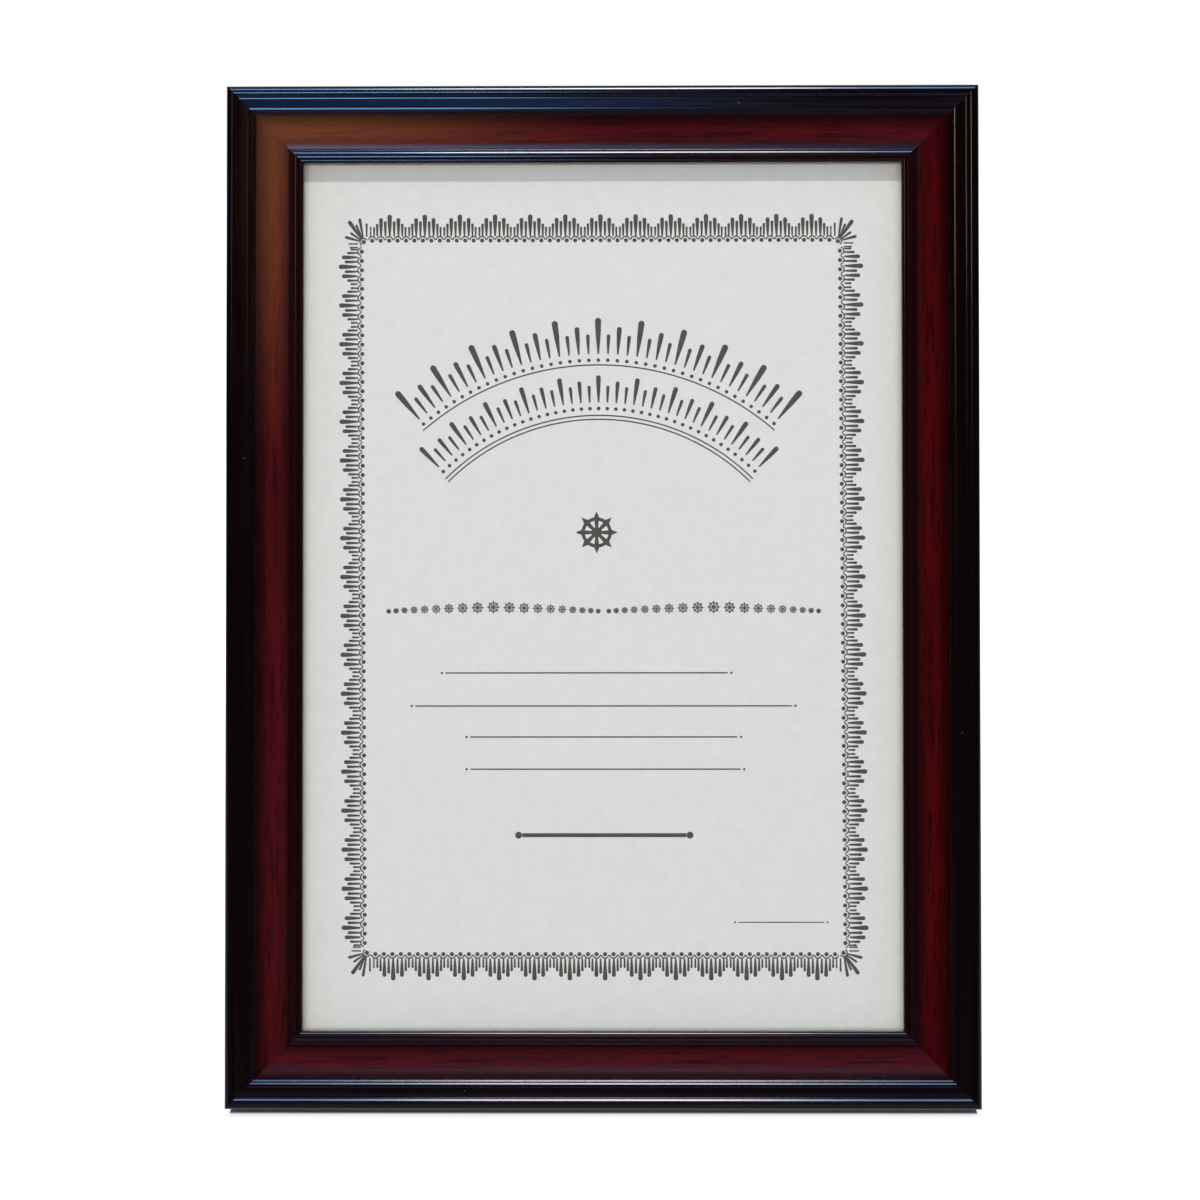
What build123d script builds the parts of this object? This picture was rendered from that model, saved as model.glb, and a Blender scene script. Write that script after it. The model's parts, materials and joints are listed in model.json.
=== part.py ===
from build123d import *
import os
from math import cos, radians, sin

# A certificate frame of mitred moulding that stands on a table, leaning back on an easel strut.
# Lengths are in millimetres and angles in degrees. Pieces are made in the frame's own axes, seen from
# the front: x to the right, y up from the bottom outer edge and z forward from the back of the rails.

# Sheet that the frame holds, and the room left around it in the rebate
SHEET_WIDTH = 210.0
SHEET_HEIGHT = 297.0
SHEET_SIDE_CLEARANCE = 0.5
SHEET_END_CLEARANCE = 1.15

# Layers in the rebate, from the front to the back
GLASS_THICKNESS = 2.0
AIR_GAP = 0.2
PAPER_THICKNESS = 0.3
FILLER_THICKNESS = 2.5
BOARD_THICKNESS = 3.0

# Moulding: widths run inwards from the outer edge, and heights forward from the back
RAIL_WIDTH = 25.2
REBATE_WIDTH = 7.2
SIDE_HEIGHT = 14.5
BEAD_WIDTH = 4.1
BEAD_CREST_INSET = 2.45
BEAD_HEIGHT = 16.8
QUIRK_WIDTH = 0.3
QUIRK_HEIGHT = 16.2
SLOPE_WIDTH = 2.7
SLOPE_HEIGHT = 17.75
RIDGE_WIDTH = 2.25
RIDGE_CREST_INSET = 0.75
RIDGE_HEIGHT = 18.0
STEP_WIDTH = 0.35
STEP_HEIGHT = 17.2
COVE_SAG = 1.97
COVE_END_HEIGHT = 12.3
LEDGE_WIDTH = 0.4
LEDGE_HEIGHT = 12.6
INNER_FACE_WIDTH = 1.9
INNER_FACE_HEIGHT = 13.55
INNER_FACE_SAG = 0.12
INNER_ROLL_WIDTH = 0.65
INNER_ROLL_CREST_INSET = 0.3
INNER_ROLL_HEIGHT = 13.6
GROOVE_WIDTH = 0.25
GROOVE_HEIGHT = 13.2
LIP_WIDTH = 1.4
LIP_CREST_INSET = 0.6
LIP_HEIGHT = 13.45
SIGHT_EDGE_HEIGHT = 12.7

# V nails, driven from the back across each mitre
V_NAIL_INSETS = (4.5, 11.0)
V_NAIL_LEG = 5.0
V_NAIL_THICKNESS = 0.6
V_NAIL_DEPTH = 7.0
V_NAIL_CLEARANCE = 0.05

# Turn buttons and their screws
BUTTON_PIVOT_TO_REBATE = 6.5
BUTTON_PIVOT_RADIUS = 4.5
BUTTON_TIP_RADIUS = 3.2
BUTTON_PIVOT_TO_TIP = 8.0
BUTTON_THICKNESS = 0.9
BUTTON_GAP = 0.1
BUTTON_RUNNING_CLEARANCE = 0.05
SHORT_SIDE_BUTTON_TO_CORNER = 53.5
LONG_SIDE_BUTTON_TO_CORNER = 82.0
SCREW_RADIUS = 1.45
SCREW_LENGTH = 8.0
SCREW_TIP_LENGTH = 2.0
SCREW_HEAD_RADIUS = 3.1
SCREW_HEAD_HEIGHT = 1.6
SCREW_HEAD_EDGE = 0.9
SCREW_RECESS_LENGTH = 3.2
SCREW_RECESS_WIDTH = 0.7
SCREW_RECESS_DEPTH = 0.8
SCREW_CLEARANCE = 0.05

# Sawtooth hangers and their nails
HANGER_LENGTH = 45.0
HANGER_WIDTH = 9.0
HANGER_THICKNESS = 0.8
HANGER_CORNER_RADIUS = 2.0
HANGER_EAR_LENGTH = 10.0
HANGER_RAMP_LENGTH = 3.0
HANGER_RISE = 1.5
HANGER_EDGE_INSET = 13.5
HANGER_TOOTH_COUNT = 7
HANGER_TOOTH_PITCH = 2.2
HANGER_TOOTH_DEPTH = 1.3
HANGER_NAIL_SPACING = 35.0
NAIL_RADIUS = 0.8
NAIL_LENGTH = 9.0
NAIL_TIP_LENGTH = 2.0
NAIL_HEAD_RADIUS = 1.9
NAIL_HEAD_HEIGHT = 0.6
NAIL_CLEARANCE = 0.05

# Easel strut
LEAN = 12.0
STRUT_OPEN_ANGLE = 22.0
HINGE_HEIGHT = 215.0
STRUT_THICKNESS = 3.0
STRUT_TOP_WIDTH = 42.0
STRUT_FOOT_WIDTH = 66.0
STRUT_CORNER_RADIUS = 4.0
STRUT_FOLDED_GAP = 0.4

# Strut hinge
LEAF_WIDTH = 32.0
LEAF_THICKNESS = 0.9
LEAF_CORNER_RADIUS = 3.0
BOARD_LEAF_HEIGHT = 22.0
STRUT_LEAF_HEIGHT = 26.0
CENTRE_KNUCKLE_WIDTH = 10.0
KNUCKLE_GAP = 0.3
STOP_GAP = 0.05
PIN_RADIUS = 0.9
PIN_RUNNING_CLEARANCE = 0.05
RIVET_SPACING = 18.0
RIVET_TO_PIN = 14.0
RIVET_RADIUS = 1.6
RIVET_HEAD_RADIUS = 3.0
RIVET_HEAD_HEIGHT = 1.1
RIVET_CLINCH_RADIUS = 2.6
RIVET_CLINCH_DEPTH = 0.7
RIVET_CLEARANCE = 0.05

# Sizes that follow from those above
BACK_WIDTH = RAIL_WIDTH - REBATE_WIDTH
REBATE_DEPTH = GLASS_THICKNESS + AIR_GAP + PAPER_THICKNESS + FILLER_THICKNESS + BOARD_THICKNESS
OUTER_WIDTH = SHEET_WIDTH + 2 * (SHEET_SIDE_CLEARANCE + BACK_WIDTH)
OUTER_HEIGHT = SHEET_HEIGHT + 2 * (SHEET_END_CLEARANCE + BACK_WIDTH)
BUTTON_PIVOT_INSET = BACK_WIDTH - BUTTON_PIVOT_TO_REBATE
SCREW_HEAD_STANDOFF = BUTTON_THICKNESS + 2 * BUTTON_GAP
KNUCKLE_RADIUS = (STRUT_FOLDED_GAP + STRUT_THICKNESS + LEAF_THICKNESS - KNUCKLE_GAP) / 2
PIN_STANDOFF = KNUCKLE_GAP + KNUCKLE_RADIUS
FOOT_TILT = radians(STRUT_OPEN_ANGLE - LEAN)
PIN_RISE = HINGE_HEIGHT * cos(radians(LEAN)) - PIN_STANDOFF * sin(radians(LEAN))
STRUT_TOP = KNUCKLE_RADIUS + STRUT_FOLDED_GAP
STRUT_REAR = STRUT_FOLDED_GAP + STRUT_THICKNESS - PIN_STANDOFF
STRUT_REACH = (PIN_RISE + STRUT_REAR * sin(FOOT_TILT)) / cos(FOOT_TILT)

FROM_BELOW = (Align.CENTER, Align.CENTER, Align.MIN)
HINGE_AXIS = Axis((0, HINGE_HEIGHT, -PIN_STANDOFF), (1, 0, 0))

# Each side's own axes: x along the rail, y inwards from its outer edge and z forward
SIDES = {
    "bottom": Location((0, 0, 0)),
    "right": Location((OUTER_WIDTH / 2, OUTER_HEIGHT / 2, 0), (0, 0, 90)),
    "top": Location((0, OUTER_HEIGHT, 0), (0, 0, 180)),
    "left": Location((-OUTER_WIDTH / 2, OUTER_HEIGHT / 2, 0), (0, 0, -90)),
}
SIDE_LENGTHS = {"bottom": OUTER_WIDTH, "right": OUTER_HEIGHT, "top": OUTER_WIDTH, "left": OUTER_HEIGHT}
BUTTONS_TO_CORNERS = {
    "bottom": SHORT_SIDE_BUTTON_TO_CORNER,
    "right": LONG_SIDE_BUTTON_TO_CORNER,
    "top": SHORT_SIDE_BUTTON_TO_CORNER,
    "left": LONG_SIDE_BUTTON_TO_CORNER,
}

# Names of the two buttons of each side, in the order of that side's own x
BUTTON_NAMES = {
    "bottom": ("bottom_left", "bottom_right"),
    "right": ("right_lower", "right_upper"),
    "top": ("top_right", "top_left"),
    "left": ("left_upper", "left_lower"),
}
HANGER_SIDES = ("top", "left")

# Outer corners, turned so that x and y both run into the frame
CORNERS = [
    Location((-OUTER_WIDTH / 2, 0, 0)),
    Location((OUTER_WIDTH / 2, 0, 0), (0, 0, 90)),
    Location((OUTER_WIDTH / 2, OUTER_HEIGHT, 0), (0, 0, 180)),
    Location((-OUTER_WIDTH / 2, OUTER_HEIGHT, 0), (0, 0, 270)),
]


def moulding_section():
    """Section of the moulding: u inwards from the outer edge, v forward from the back."""
    slope_start = BEAD_WIDTH + QUIRK_WIDTH
    slope_end = slope_start + SLOPE_WIDTH
    ridge_end = slope_end + RIDGE_WIDTH
    cove_start = ridge_end + STEP_WIDTH
    lip_start = RAIL_WIDTH - LIP_WIDTH
    groove_start = lip_start - GROOVE_WIDTH
    roll_start = groove_start - INNER_ROLL_WIDTH
    face_start = roll_start - INNER_FACE_WIDTH
    cove_end = face_start - LEDGE_WIDTH
    bead = ThreePointArc((0, SIDE_HEIGHT), (BEAD_CREST_INSET, BEAD_HEIGHT), (BEAD_WIDTH, QUIRK_HEIGHT))
    slope = Polyline(
        (BEAD_WIDTH, QUIRK_HEIGHT), (slope_start, QUIRK_HEIGHT), (slope_end, SLOPE_HEIGHT)
    )
    ridge_crest = (slope_end + RIDGE_CREST_INSET, RIDGE_HEIGHT)
    ridge = ThreePointArc((slope_end, SLOPE_HEIGHT), ridge_crest, (ridge_end, STEP_HEIGHT))
    step = Line((ridge_end, STEP_HEIGHT), (cove_start, STEP_HEIGHT))
    cove = SagittaArc((cove_start, STEP_HEIGHT), (cove_end, COVE_END_HEIGHT), -COVE_SAG)
    ledge = Polyline(
        (cove_end, COVE_END_HEIGHT), (cove_end, LEDGE_HEIGHT), (face_start, LEDGE_HEIGHT)
    )
    inner_face = SagittaArc(
        (face_start, LEDGE_HEIGHT), (roll_start, INNER_FACE_HEIGHT), INNER_FACE_SAG
    )
    roll_crest = (roll_start + INNER_ROLL_CREST_INSET, INNER_ROLL_HEIGHT)
    inner_roll = ThreePointArc(
        (roll_start, INNER_FACE_HEIGHT), roll_crest, (groove_start, GROOVE_HEIGHT)
    )
    groove = Line((groove_start, GROOVE_HEIGHT), (lip_start, GROOVE_HEIGHT))
    lip_crest = (lip_start + LIP_CREST_INSET, LIP_HEIGHT)
    lip = ThreePointArc((lip_start, GROOVE_HEIGHT), lip_crest, (RAIL_WIDTH, SIGHT_EDGE_HEIGHT))
    back = Polyline(
        (RAIL_WIDTH, SIGHT_EDGE_HEIGHT),
        (RAIL_WIDTH, REBATE_DEPTH),
        (BACK_WIDTH, REBATE_DEPTH),
        (BACK_WIDTH, 0),
        (0, 0),
        (0, SIDE_HEIGHT),
    )
    return make_face([bead, slope, ridge, step, cove, ledge, inner_face, inner_roll, groove, lip, back])


def mitred_bar(length):
    """A bar of moulding in its side's own axes, mitred at both ends."""
    bar = extrude(Plane.YZ * moulding_section(), amount=length / 2, both=True)
    outer, inner = length / 2, length / 2 - RAIL_WIDTH
    plan = Polyline((-outer, 0), (outer, 0), (inner, RAIL_WIDTH), (-inner, RAIL_WIDTH), close=True)
    return bar & extrude(make_face(plan), amount=2 * RIDGE_HEIGHT)


def v_blades(clearance):
    """V nails of all the corners, or the slots for them when made with a clearance."""
    half = V_NAIL_THICKNESS / 2 + clearance
    leg = V_NAIL_LEG + clearance
    outline = Polyline(
        (-half, -half), (leg, -half), (leg, half), (half, half), (half, leg), (-half, leg), close=True
    )
    blade = extrude(make_face(outline), amount=V_NAIL_DEPTH + clearance)
    return [corner * Pos(inset, inset) * blade for corner in CORNERS for inset in V_NAIL_INSETS]


def button_pivots(side):
    """Places of a side's two turn button pivots, on the back of its rail."""
    offset = SIDE_LENGTHS[side] / 2 - BUTTONS_TO_CORNERS[side]
    return [SIDES[side] * Pos(x, BUTTON_PIVOT_INSET) for x in (-offset, offset)]


def hanger_nail_places(side):
    """Places of the two nails of a side's hanger, on the back of its rail."""
    inset = HANGER_EDGE_INSET - HANGER_WIDTH / 2
    return [SIDES[side] * Pos(x, inset) for x in (-HANGER_NAIL_SPACING / 2, HANGER_NAIL_SPACING / 2)]


def rail(side):
    """One side of the frame, with its V nail slots and the holes for its screws and nails."""
    body = SIDES[side] * mitred_bar(SIDE_LENGTHS[side])
    cuts = v_blades(V_NAIL_CLEARANCE)
    screw_hole = Cylinder(
        SCREW_RADIUS + SCREW_CLEARANCE, SCREW_LENGTH + SCREW_TIP_LENGTH, align=FROM_BELOW
    )
    cuts += [place * screw_hole for place in button_pivots(side)]
    if side in HANGER_SIDES:
        nail_hole = Cylinder(NAIL_RADIUS + NAIL_CLEARANCE, NAIL_LENGTH + NAIL_TIP_LENGTH, align=FROM_BELOW)
        cuts += [place * nail_hole for place in hanger_nail_places(side)]
    return body - cuts


def panel(thickness, front):
    """A sheet of the frame's sheet size, with its front face at the given height over the rails' back."""
    return Pos(0, OUTER_HEIGHT / 2, front - thickness / 2) * Box(SHEET_WIDTH, SHEET_HEIGHT, thickness)


def turn_button():
    """A tear-drop plate that turns on its screw, pointing inwards over the back board."""
    pivot = Circle(BUTTON_PIVOT_RADIUS)
    tip = Pos(0, BUTTON_PIVOT_TO_TIP) * Circle(BUTTON_TIP_RADIUS)
    outline = make_hull(pivot.edges() + tip.edges()) - Circle(SCREW_RADIUS + BUTTON_RUNNING_CLEARANCE)
    return Pos(0, 0, -BUTTON_GAP - BUTTON_THICKNESS) * extrude(outline, amount=BUTTON_THICKNESS)


def turn_button_screw():
    """A pan head screw that stands in the rail and holds a turn button."""
    head = Cylinder(SCREW_HEAD_RADIUS, SCREW_HEAD_HEIGHT, align=FROM_BELOW)
    head = fillet(head.edges().sort_by(Axis.Z)[0], SCREW_HEAD_EDGE)
    for size in (
        (SCREW_RECESS_LENGTH, SCREW_RECESS_WIDTH, SCREW_RECESS_DEPTH),
        (SCREW_RECESS_WIDTH, SCREW_RECESS_LENGTH, SCREW_RECESS_DEPTH),
    ):
        head -= Box(*size, align=FROM_BELOW)
    head = Pos(0, 0, -SCREW_HEAD_STANDOFF - SCREW_HEAD_HEIGHT) * head
    shank_length = SCREW_HEAD_STANDOFF + SCREW_LENGTH
    shank = Pos(0, 0, -SCREW_HEAD_STANDOFF) * Cylinder(SCREW_RADIUS, shank_length, align=FROM_BELOW)
    tip = Pos(0, 0, SCREW_LENGTH) * Cone(SCREW_RADIUS, 0, SCREW_TIP_LENGTH, align=FROM_BELOW)
    return head + shank + tip


def sawtooth_hanger():
    """A strip with two ears on the rail and a raised bridge, whose toothed edge hangs on a wall nail."""
    end = HANGER_LENGTH / 2
    ear = end - HANGER_EAR_LENGTH
    bridge = ear - HANGER_RAMP_LENGTH
    near = [(-end, 0), (-ear, 0), (-bridge, -HANGER_RISE), (bridge, -HANGER_RISE), (ear, 0), (end, 0)]
    far = [(x, z - HANGER_THICKNESS) for x, z in reversed(near)]
    strip = extrude(
        Plane.XZ * make_face(Polyline(*near, *far, close=True)), amount=HANGER_WIDTH / 2, both=True
    )
    plan = RectangleRounded(HANGER_LENGTH, HANGER_WIDTH, HANGER_CORNER_RADIUS)
    height = HANGER_RISE + HANGER_THICKNESS
    strip = strip & extrude(plan, amount=-height)
    edge = HANGER_WIDTH / 2
    half_pitch = HANGER_TOOTH_PITCH / 2
    notch = Polyline((-half_pitch, edge), (half_pitch, edge), (0, edge - HANGER_TOOTH_DEPTH), close=True)
    cut = extrude(make_face(notch), amount=-height)
    middle = (HANGER_TOOTH_COUNT - 1) / 2
    hole = Cylinder(NAIL_RADIUS + NAIL_CLEARANCE, 2 * height)
    cuts = [Pos((i - middle) * HANGER_TOOTH_PITCH) * cut for i in range(HANGER_TOOTH_COUNT)]
    cuts += [Pos(x) * hole for x in (-HANGER_NAIL_SPACING / 2, HANGER_NAIL_SPACING / 2)]
    return Pos(0, HANGER_EDGE_INSET - edge) * (strip - cuts)


def hanger_nail():
    """A flat-headed nail through a hanger's ear into the rail."""
    head_start = -HANGER_THICKNESS - NAIL_HEAD_HEIGHT
    head = Pos(0, 0, head_start) * Cylinder(NAIL_HEAD_RADIUS, NAIL_HEAD_HEIGHT, align=FROM_BELOW)
    shank_length = HANGER_THICKNESS + NAIL_LENGTH
    shank = Pos(0, 0, -HANGER_THICKNESS) * Cylinder(NAIL_RADIUS, shank_length, align=FROM_BELOW)
    tip = Pos(0, 0, NAIL_LENGTH) * Cone(NAIL_RADIUS, 0, NAIL_TIP_LENGTH, align=FROM_BELOW)
    return head + shank + tip


def rivet(grip):
    """A rivet whose domed head lies on a leaf and whose clinched end is flush with the far face."""
    cap = ThreePointArc(
        (RIVET_HEAD_RADIUS, 0), (0, -RIVET_HEAD_HEIGHT), (-RIVET_HEAD_RADIUS, 0)
    )
    dome = make_face([cap, Line((-RIVET_HEAD_RADIUS, 0), (RIVET_HEAD_RADIUS, 0))])
    half_dome = dome & Pos(RIVET_HEAD_RADIUS / 2) * Rectangle(RIVET_HEAD_RADIUS, 3 * RIVET_HEAD_HEIGHT)
    head = revolve(Plane.XZ * half_dome, Axis.Z)
    shank = Cylinder(RIVET_RADIUS, grip, align=FROM_BELOW)
    clinch_start = grip - RIVET_CLINCH_DEPTH
    clinch = Pos(0, 0, clinch_start) * Cylinder(RIVET_CLINCH_RADIUS, RIVET_CLINCH_DEPTH, align=FROM_BELOW)
    return head + shank + clinch


def rivet_hole(grip):
    """The hole for a rivet, with the pocket for its clinched end."""
    clinch_depth = RIVET_CLINCH_DEPTH + RIVET_CLEARANCE
    shank = Cylinder(RIVET_RADIUS + RIVET_CLEARANCE, grip, align=FROM_BELOW)
    clinch = Cylinder(RIVET_CLINCH_RADIUS + RIVET_CLEARANCE, clinch_depth, align=FROM_BELOW)
    return shank + Pos(0, 0, grip - clinch_depth) * clinch


def board_rivet_places():
    """Places of the board leaf's rivets, on the leaf's rear face."""
    height = HINGE_HEIGHT + RIVET_TO_PIN
    return [Pos(x, height, -LEAF_THICKNESS) for x in (-RIVET_SPACING / 2, RIVET_SPACING / 2)]


def strut_rivet_places():
    """Places of the strut leaf's rivets with the strut folded, on the leaf's rear face."""
    height = HINGE_HEIGHT - RIVET_TO_PIN
    rear = -STRUT_FOLDED_GAP - STRUT_THICKNESS - LEAF_THICKNESS
    return [Pos(x, height, rear) for x in (-RIVET_SPACING / 2, RIVET_SPACING / 2)]


def knuckle(width, x):
    """A barrel of the hinge around its pin."""
    barrel = Cylinder(KNUCKLE_RADIUS, width) - Cylinder(PIN_RADIUS + PIN_RUNNING_CLEARANCE, width)
    return Pos(x, HINGE_HEIGHT, -PIN_STANDOFF) * Rot(0, 90, 0) * barrel


def leaf_plate(bottom, top, rear):
    """A hinge leaf's flat plate, between two heights from the pin, with its rear face at the given depth."""
    height = top - bottom
    plate = extrude(RectangleRounded(LEAF_WIDTH, height, LEAF_CORNER_RADIUS), amount=LEAF_THICKNESS)
    return Pos(0, HINGE_HEIGHT + (bottom + top) / 2, rear) * plate


def pin_channel(width, x):
    """The space around the pin that a leaf leaves free for the other leaf's knuckle."""
    across = 2 * (KNUCKLE_RADIUS + KNUCKLE_GAP)
    return Pos(x, HINGE_HEIGHT, -PIN_STANDOFF) * Box(width, across, across)


def hinge_board_leaf():
    """The leaf on the back board, with a knuckle at each end of the pin."""
    plate = leaf_plate(-LEAF_CORNER_RADIUS, BOARD_LEAF_HEIGHT, -LEAF_THICKNESS)
    below = Box(LEAF_WIDTH, 2 * LEAF_CORNER_RADIUS, 2 * PIN_STANDOFF)
    plate -= Pos(0, HINGE_HEIGHT - LEAF_CORNER_RADIUS) * below
    plate -= pin_channel(CENTRE_KNUCKLE_WIDTH + 2 * KNUCKLE_GAP, 0)
    end_width = LEAF_WIDTH / 2 - CENTRE_KNUCKLE_WIDTH / 2 - KNUCKLE_GAP
    end_place = LEAF_WIDTH / 2 - end_width / 2
    leaf = plate + knuckle(end_width, -end_place) + knuckle(end_width, end_place)
    bore = Rot(0, 90, 0) * Cylinder(PIN_RADIUS + PIN_RUNNING_CLEARANCE, LEAF_WIDTH)
    leaf -= Pos(0, HINGE_HEIGHT, -PIN_STANDOFF) * bore
    hole = rivet_hole(LEAF_THICKNESS + BOARD_THICKNESS)
    return leaf - [place * hole for place in board_rivet_places()]


def hinge_strut_leaf():
    """The leaf on the strut, folded: its middle knuckle, and the heel that stops the strut when open."""
    rear = -STRUT_FOLDED_GAP - STRUT_THICKNESS - LEAF_THICKNESS
    open_angle = radians(STRUT_OPEN_ANGLE)
    leaf_standoff = PIN_STANDOFF - LEAF_THICKNESS - STOP_GAP
    heel_height = (leaf_standoff + (KNUCKLE_RADIUS - LEAF_THICKNESS) * cos(open_angle)) / sin(open_angle)
    plate = leaf_plate(-STRUT_LEAF_HEIGHT, LEAF_CORNER_RADIUS, rear)
    above = Box(LEAF_WIDTH, 2 * LEAF_CORNER_RADIUS, 4 * PIN_STANDOFF)
    plate -= Pos(0, HINGE_HEIGHT - KNUCKLE_RADIUS - KNUCKLE_GAP + LEAF_CORNER_RADIUS) * above
    tongue_bottom = -KNUCKLE_RADIUS - 2 * KNUCKLE_GAP
    tongue_height = heel_height - tongue_bottom
    tongue = Box(CENTRE_KNUCKLE_WIDTH, tongue_height, LEAF_THICKNESS, align=FROM_BELOW)
    tongue = Pos(0, HINGE_HEIGHT + (tongue_bottom + heel_height) / 2, rear) * tongue
    leaf = plate + tongue + knuckle(CENTRE_KNUCKLE_WIDTH, 0)
    bore = Rot(0, 90, 0) * Cylinder(PIN_RADIUS + PIN_RUNNING_CLEARANCE, LEAF_WIDTH)
    leaf -= Pos(0, HINGE_HEIGHT, -PIN_STANDOFF) * bore
    hole = rivet_hole(LEAF_THICKNESS + STRUT_THICKNESS)
    return leaf - [place * hole for place in strut_rivet_places()]


def hinge_pin():
    """The pin through the three knuckles."""
    return Pos(0, HINGE_HEIGHT, -PIN_STANDOFF) * Rot(0, 90, 0) * Cylinder(PIN_RADIUS, LEAF_WIDTH)


def back_board():
    """The board that closes the back, with the holes for the hinge's rivets."""
    hole = rivet_hole(LEAF_THICKNESS + BOARD_THICKNESS)
    return panel(BOARD_THICKNESS, BOARD_THICKNESS) - [place * hole for place in board_rivet_places()]


def easel_strut():
    """The strut, folded: a tapered board that reaches from below the pin to the table."""
    top = HINGE_HEIGHT - STRUT_TOP
    foot = HINGE_HEIGHT - STRUT_REACH
    outline = Polyline(
        (-STRUT_TOP_WIDTH / 2, top),
        (STRUT_TOP_WIDTH / 2, top),
        (STRUT_FOOT_WIDTH / 2, foot),
        (-STRUT_FOOT_WIDTH / 2, foot),
        close=True,
    )
    face = make_face(outline)
    face = fillet(face.vertices(), STRUT_CORNER_RADIUS)
    board = Pos(0, 0, -STRUT_FOLDED_GAP - STRUT_THICKNESS) * extrude(face, amount=STRUT_THICKNESS)
    hole = rivet_hole(LEAF_THICKNESS + STRUT_THICKNESS)
    return board - [place * hole for place in strut_rivet_places()]


def opened(shape):
    """A folded piece of the strut, swung open to the hinge's stop."""
    return shape.rotate(HINGE_AXIS, STRUT_OPEN_ANGLE)


def fixed_pieces():
    """The pieces of the frame that don't move, in the frame's own axes."""
    pieces = {f"{side}_rail": rail(side) for side in SIDES}
    pieces["corner_v_nails"] = Compound(children=v_blades(0))
    front = REBATE_DEPTH
    pieces["glazing"] = panel(GLASS_THICKNESS, front)
    front -= GLASS_THICKNESS + AIR_GAP
    pieces["certificate"] = panel(PAPER_THICKNESS, front)
    front -= PAPER_THICKNESS
    pieces["filler_board"] = panel(FILLER_THICKNESS, front)
    pieces["back_board"] = back_board()
    screws = [place * turn_button_screw() for side in SIDES for place in button_pivots(side)]
    pieces["turn_button_screws"] = Compound(children=screws)
    for side in HANGER_SIDES:
        pieces[f"{side}_hanger"] = SIDES[side] * sawtooth_hanger()
    nails = [place * hanger_nail() for side in HANGER_SIDES for place in hanger_nail_places(side)]
    pieces["hanger_nails"] = Compound(children=nails)
    pieces["hinge_board_leaf"] = hinge_board_leaf()
    pieces["hinge_pin"] = hinge_pin()
    rivets = [place * rivet(LEAF_THICKNESS + BOARD_THICKNESS) for place in board_rivet_places()]
    pieces["hinge_board_rivets"] = Compound(children=rivets)
    return pieces


def button_pieces():
    """The turn buttons, all pointing inwards over the back board."""
    pieces = {}
    for side in SIDES:
        for name, place in zip(BUTTON_NAMES[side], button_pivots(side)):
            pieces[f"turn_button_{name}"] = place * turn_button()
    return pieces


def strut_pieces():
    """The strut, its hinge leaf and rivets, swung open."""
    rivets = [place * rivet(LEAF_THICKNESS + STRUT_THICKNESS) for place in strut_rivet_places()]
    return {
        "easel_strut": opened(easel_strut()),
        "hinge_strut_leaf": opened(hinge_strut_leaf()),
        "hinge_strut_rivets": opened(Compound(children=rivets)),
    }


def standing(pieces):
    """The pieces leaning back on the table, with the origin under the middle of the whole frame."""
    leaning = Location((0, 0, 0), (90 - LEAN, 0, 0))
    stood = {name: piece.moved(leaning) for name, piece in pieces.items()}
    stood["easel_strut"] = split(stood["easel_strut"], bisect_by=Plane.XY, keep=Keep.TOP)
    boxes = [piece.bounding_box() for piece in stood.values()]
    middle = (min(box.min.Y for box in boxes) + max(box.max.Y for box in boxes)) / 2
    return {name: piece.moved(Location((0, -middle, 0))) for name, piece in stood.items()}


os.makedirs("parts", exist_ok=True)
for node, shape in standing({**fixed_pieces(), **button_pieces(), **strut_pieces()}).items():
    export_step(shape, f"parts/{node}.step")
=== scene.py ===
"""Certificate frame on its easel strut: the dressed model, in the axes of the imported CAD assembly."""

import json
import logging
from dataclasses import dataclass
from enum import Enum
from math import atan2, cos, degrees, radians, sin, tau
from typing import Any, Callable, ClassVar, Sequence

import bmesh
import bpy
from mathutils import Matrix, Vector

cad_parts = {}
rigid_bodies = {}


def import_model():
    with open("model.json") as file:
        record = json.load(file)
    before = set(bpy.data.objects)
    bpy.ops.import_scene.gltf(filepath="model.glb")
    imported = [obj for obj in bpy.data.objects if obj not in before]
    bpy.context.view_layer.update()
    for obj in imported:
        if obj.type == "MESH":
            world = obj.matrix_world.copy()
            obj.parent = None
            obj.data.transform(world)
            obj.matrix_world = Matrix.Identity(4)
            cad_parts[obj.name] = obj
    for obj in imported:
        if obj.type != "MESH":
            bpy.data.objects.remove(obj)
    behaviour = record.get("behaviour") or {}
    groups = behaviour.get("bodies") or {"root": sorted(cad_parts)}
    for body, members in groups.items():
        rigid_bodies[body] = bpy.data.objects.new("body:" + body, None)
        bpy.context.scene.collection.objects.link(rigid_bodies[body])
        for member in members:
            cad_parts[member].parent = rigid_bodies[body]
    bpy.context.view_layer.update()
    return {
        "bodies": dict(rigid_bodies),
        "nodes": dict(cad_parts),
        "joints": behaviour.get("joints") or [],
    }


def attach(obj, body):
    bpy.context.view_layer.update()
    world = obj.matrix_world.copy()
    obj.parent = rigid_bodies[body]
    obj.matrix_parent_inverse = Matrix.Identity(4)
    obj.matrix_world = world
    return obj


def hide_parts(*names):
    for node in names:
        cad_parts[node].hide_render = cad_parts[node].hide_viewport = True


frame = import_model()

LOG = logging.getLogger("certificate_frame")
MILLIMETRE = 0.001
MERGE = 0.0005
SMOOTH_ANGLE = 40.0
WHITE = (1.0, 1.0, 1.0)
Point = tuple[float, float]
Triple = tuple[float, float, float]
Colour = Triple
Stop = tuple[float, Colour]


class Slot(Enum):
    """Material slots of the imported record."""

    MOULDING = "lacquered_moulding"
    GLASS = "glass"
    PAPER = "printed_paper"
    CARD = "filler_card"
    BOARD = "hardboard"
    STEEL = "zinc_steel"
    RIVET = "rivet_metal"


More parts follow.
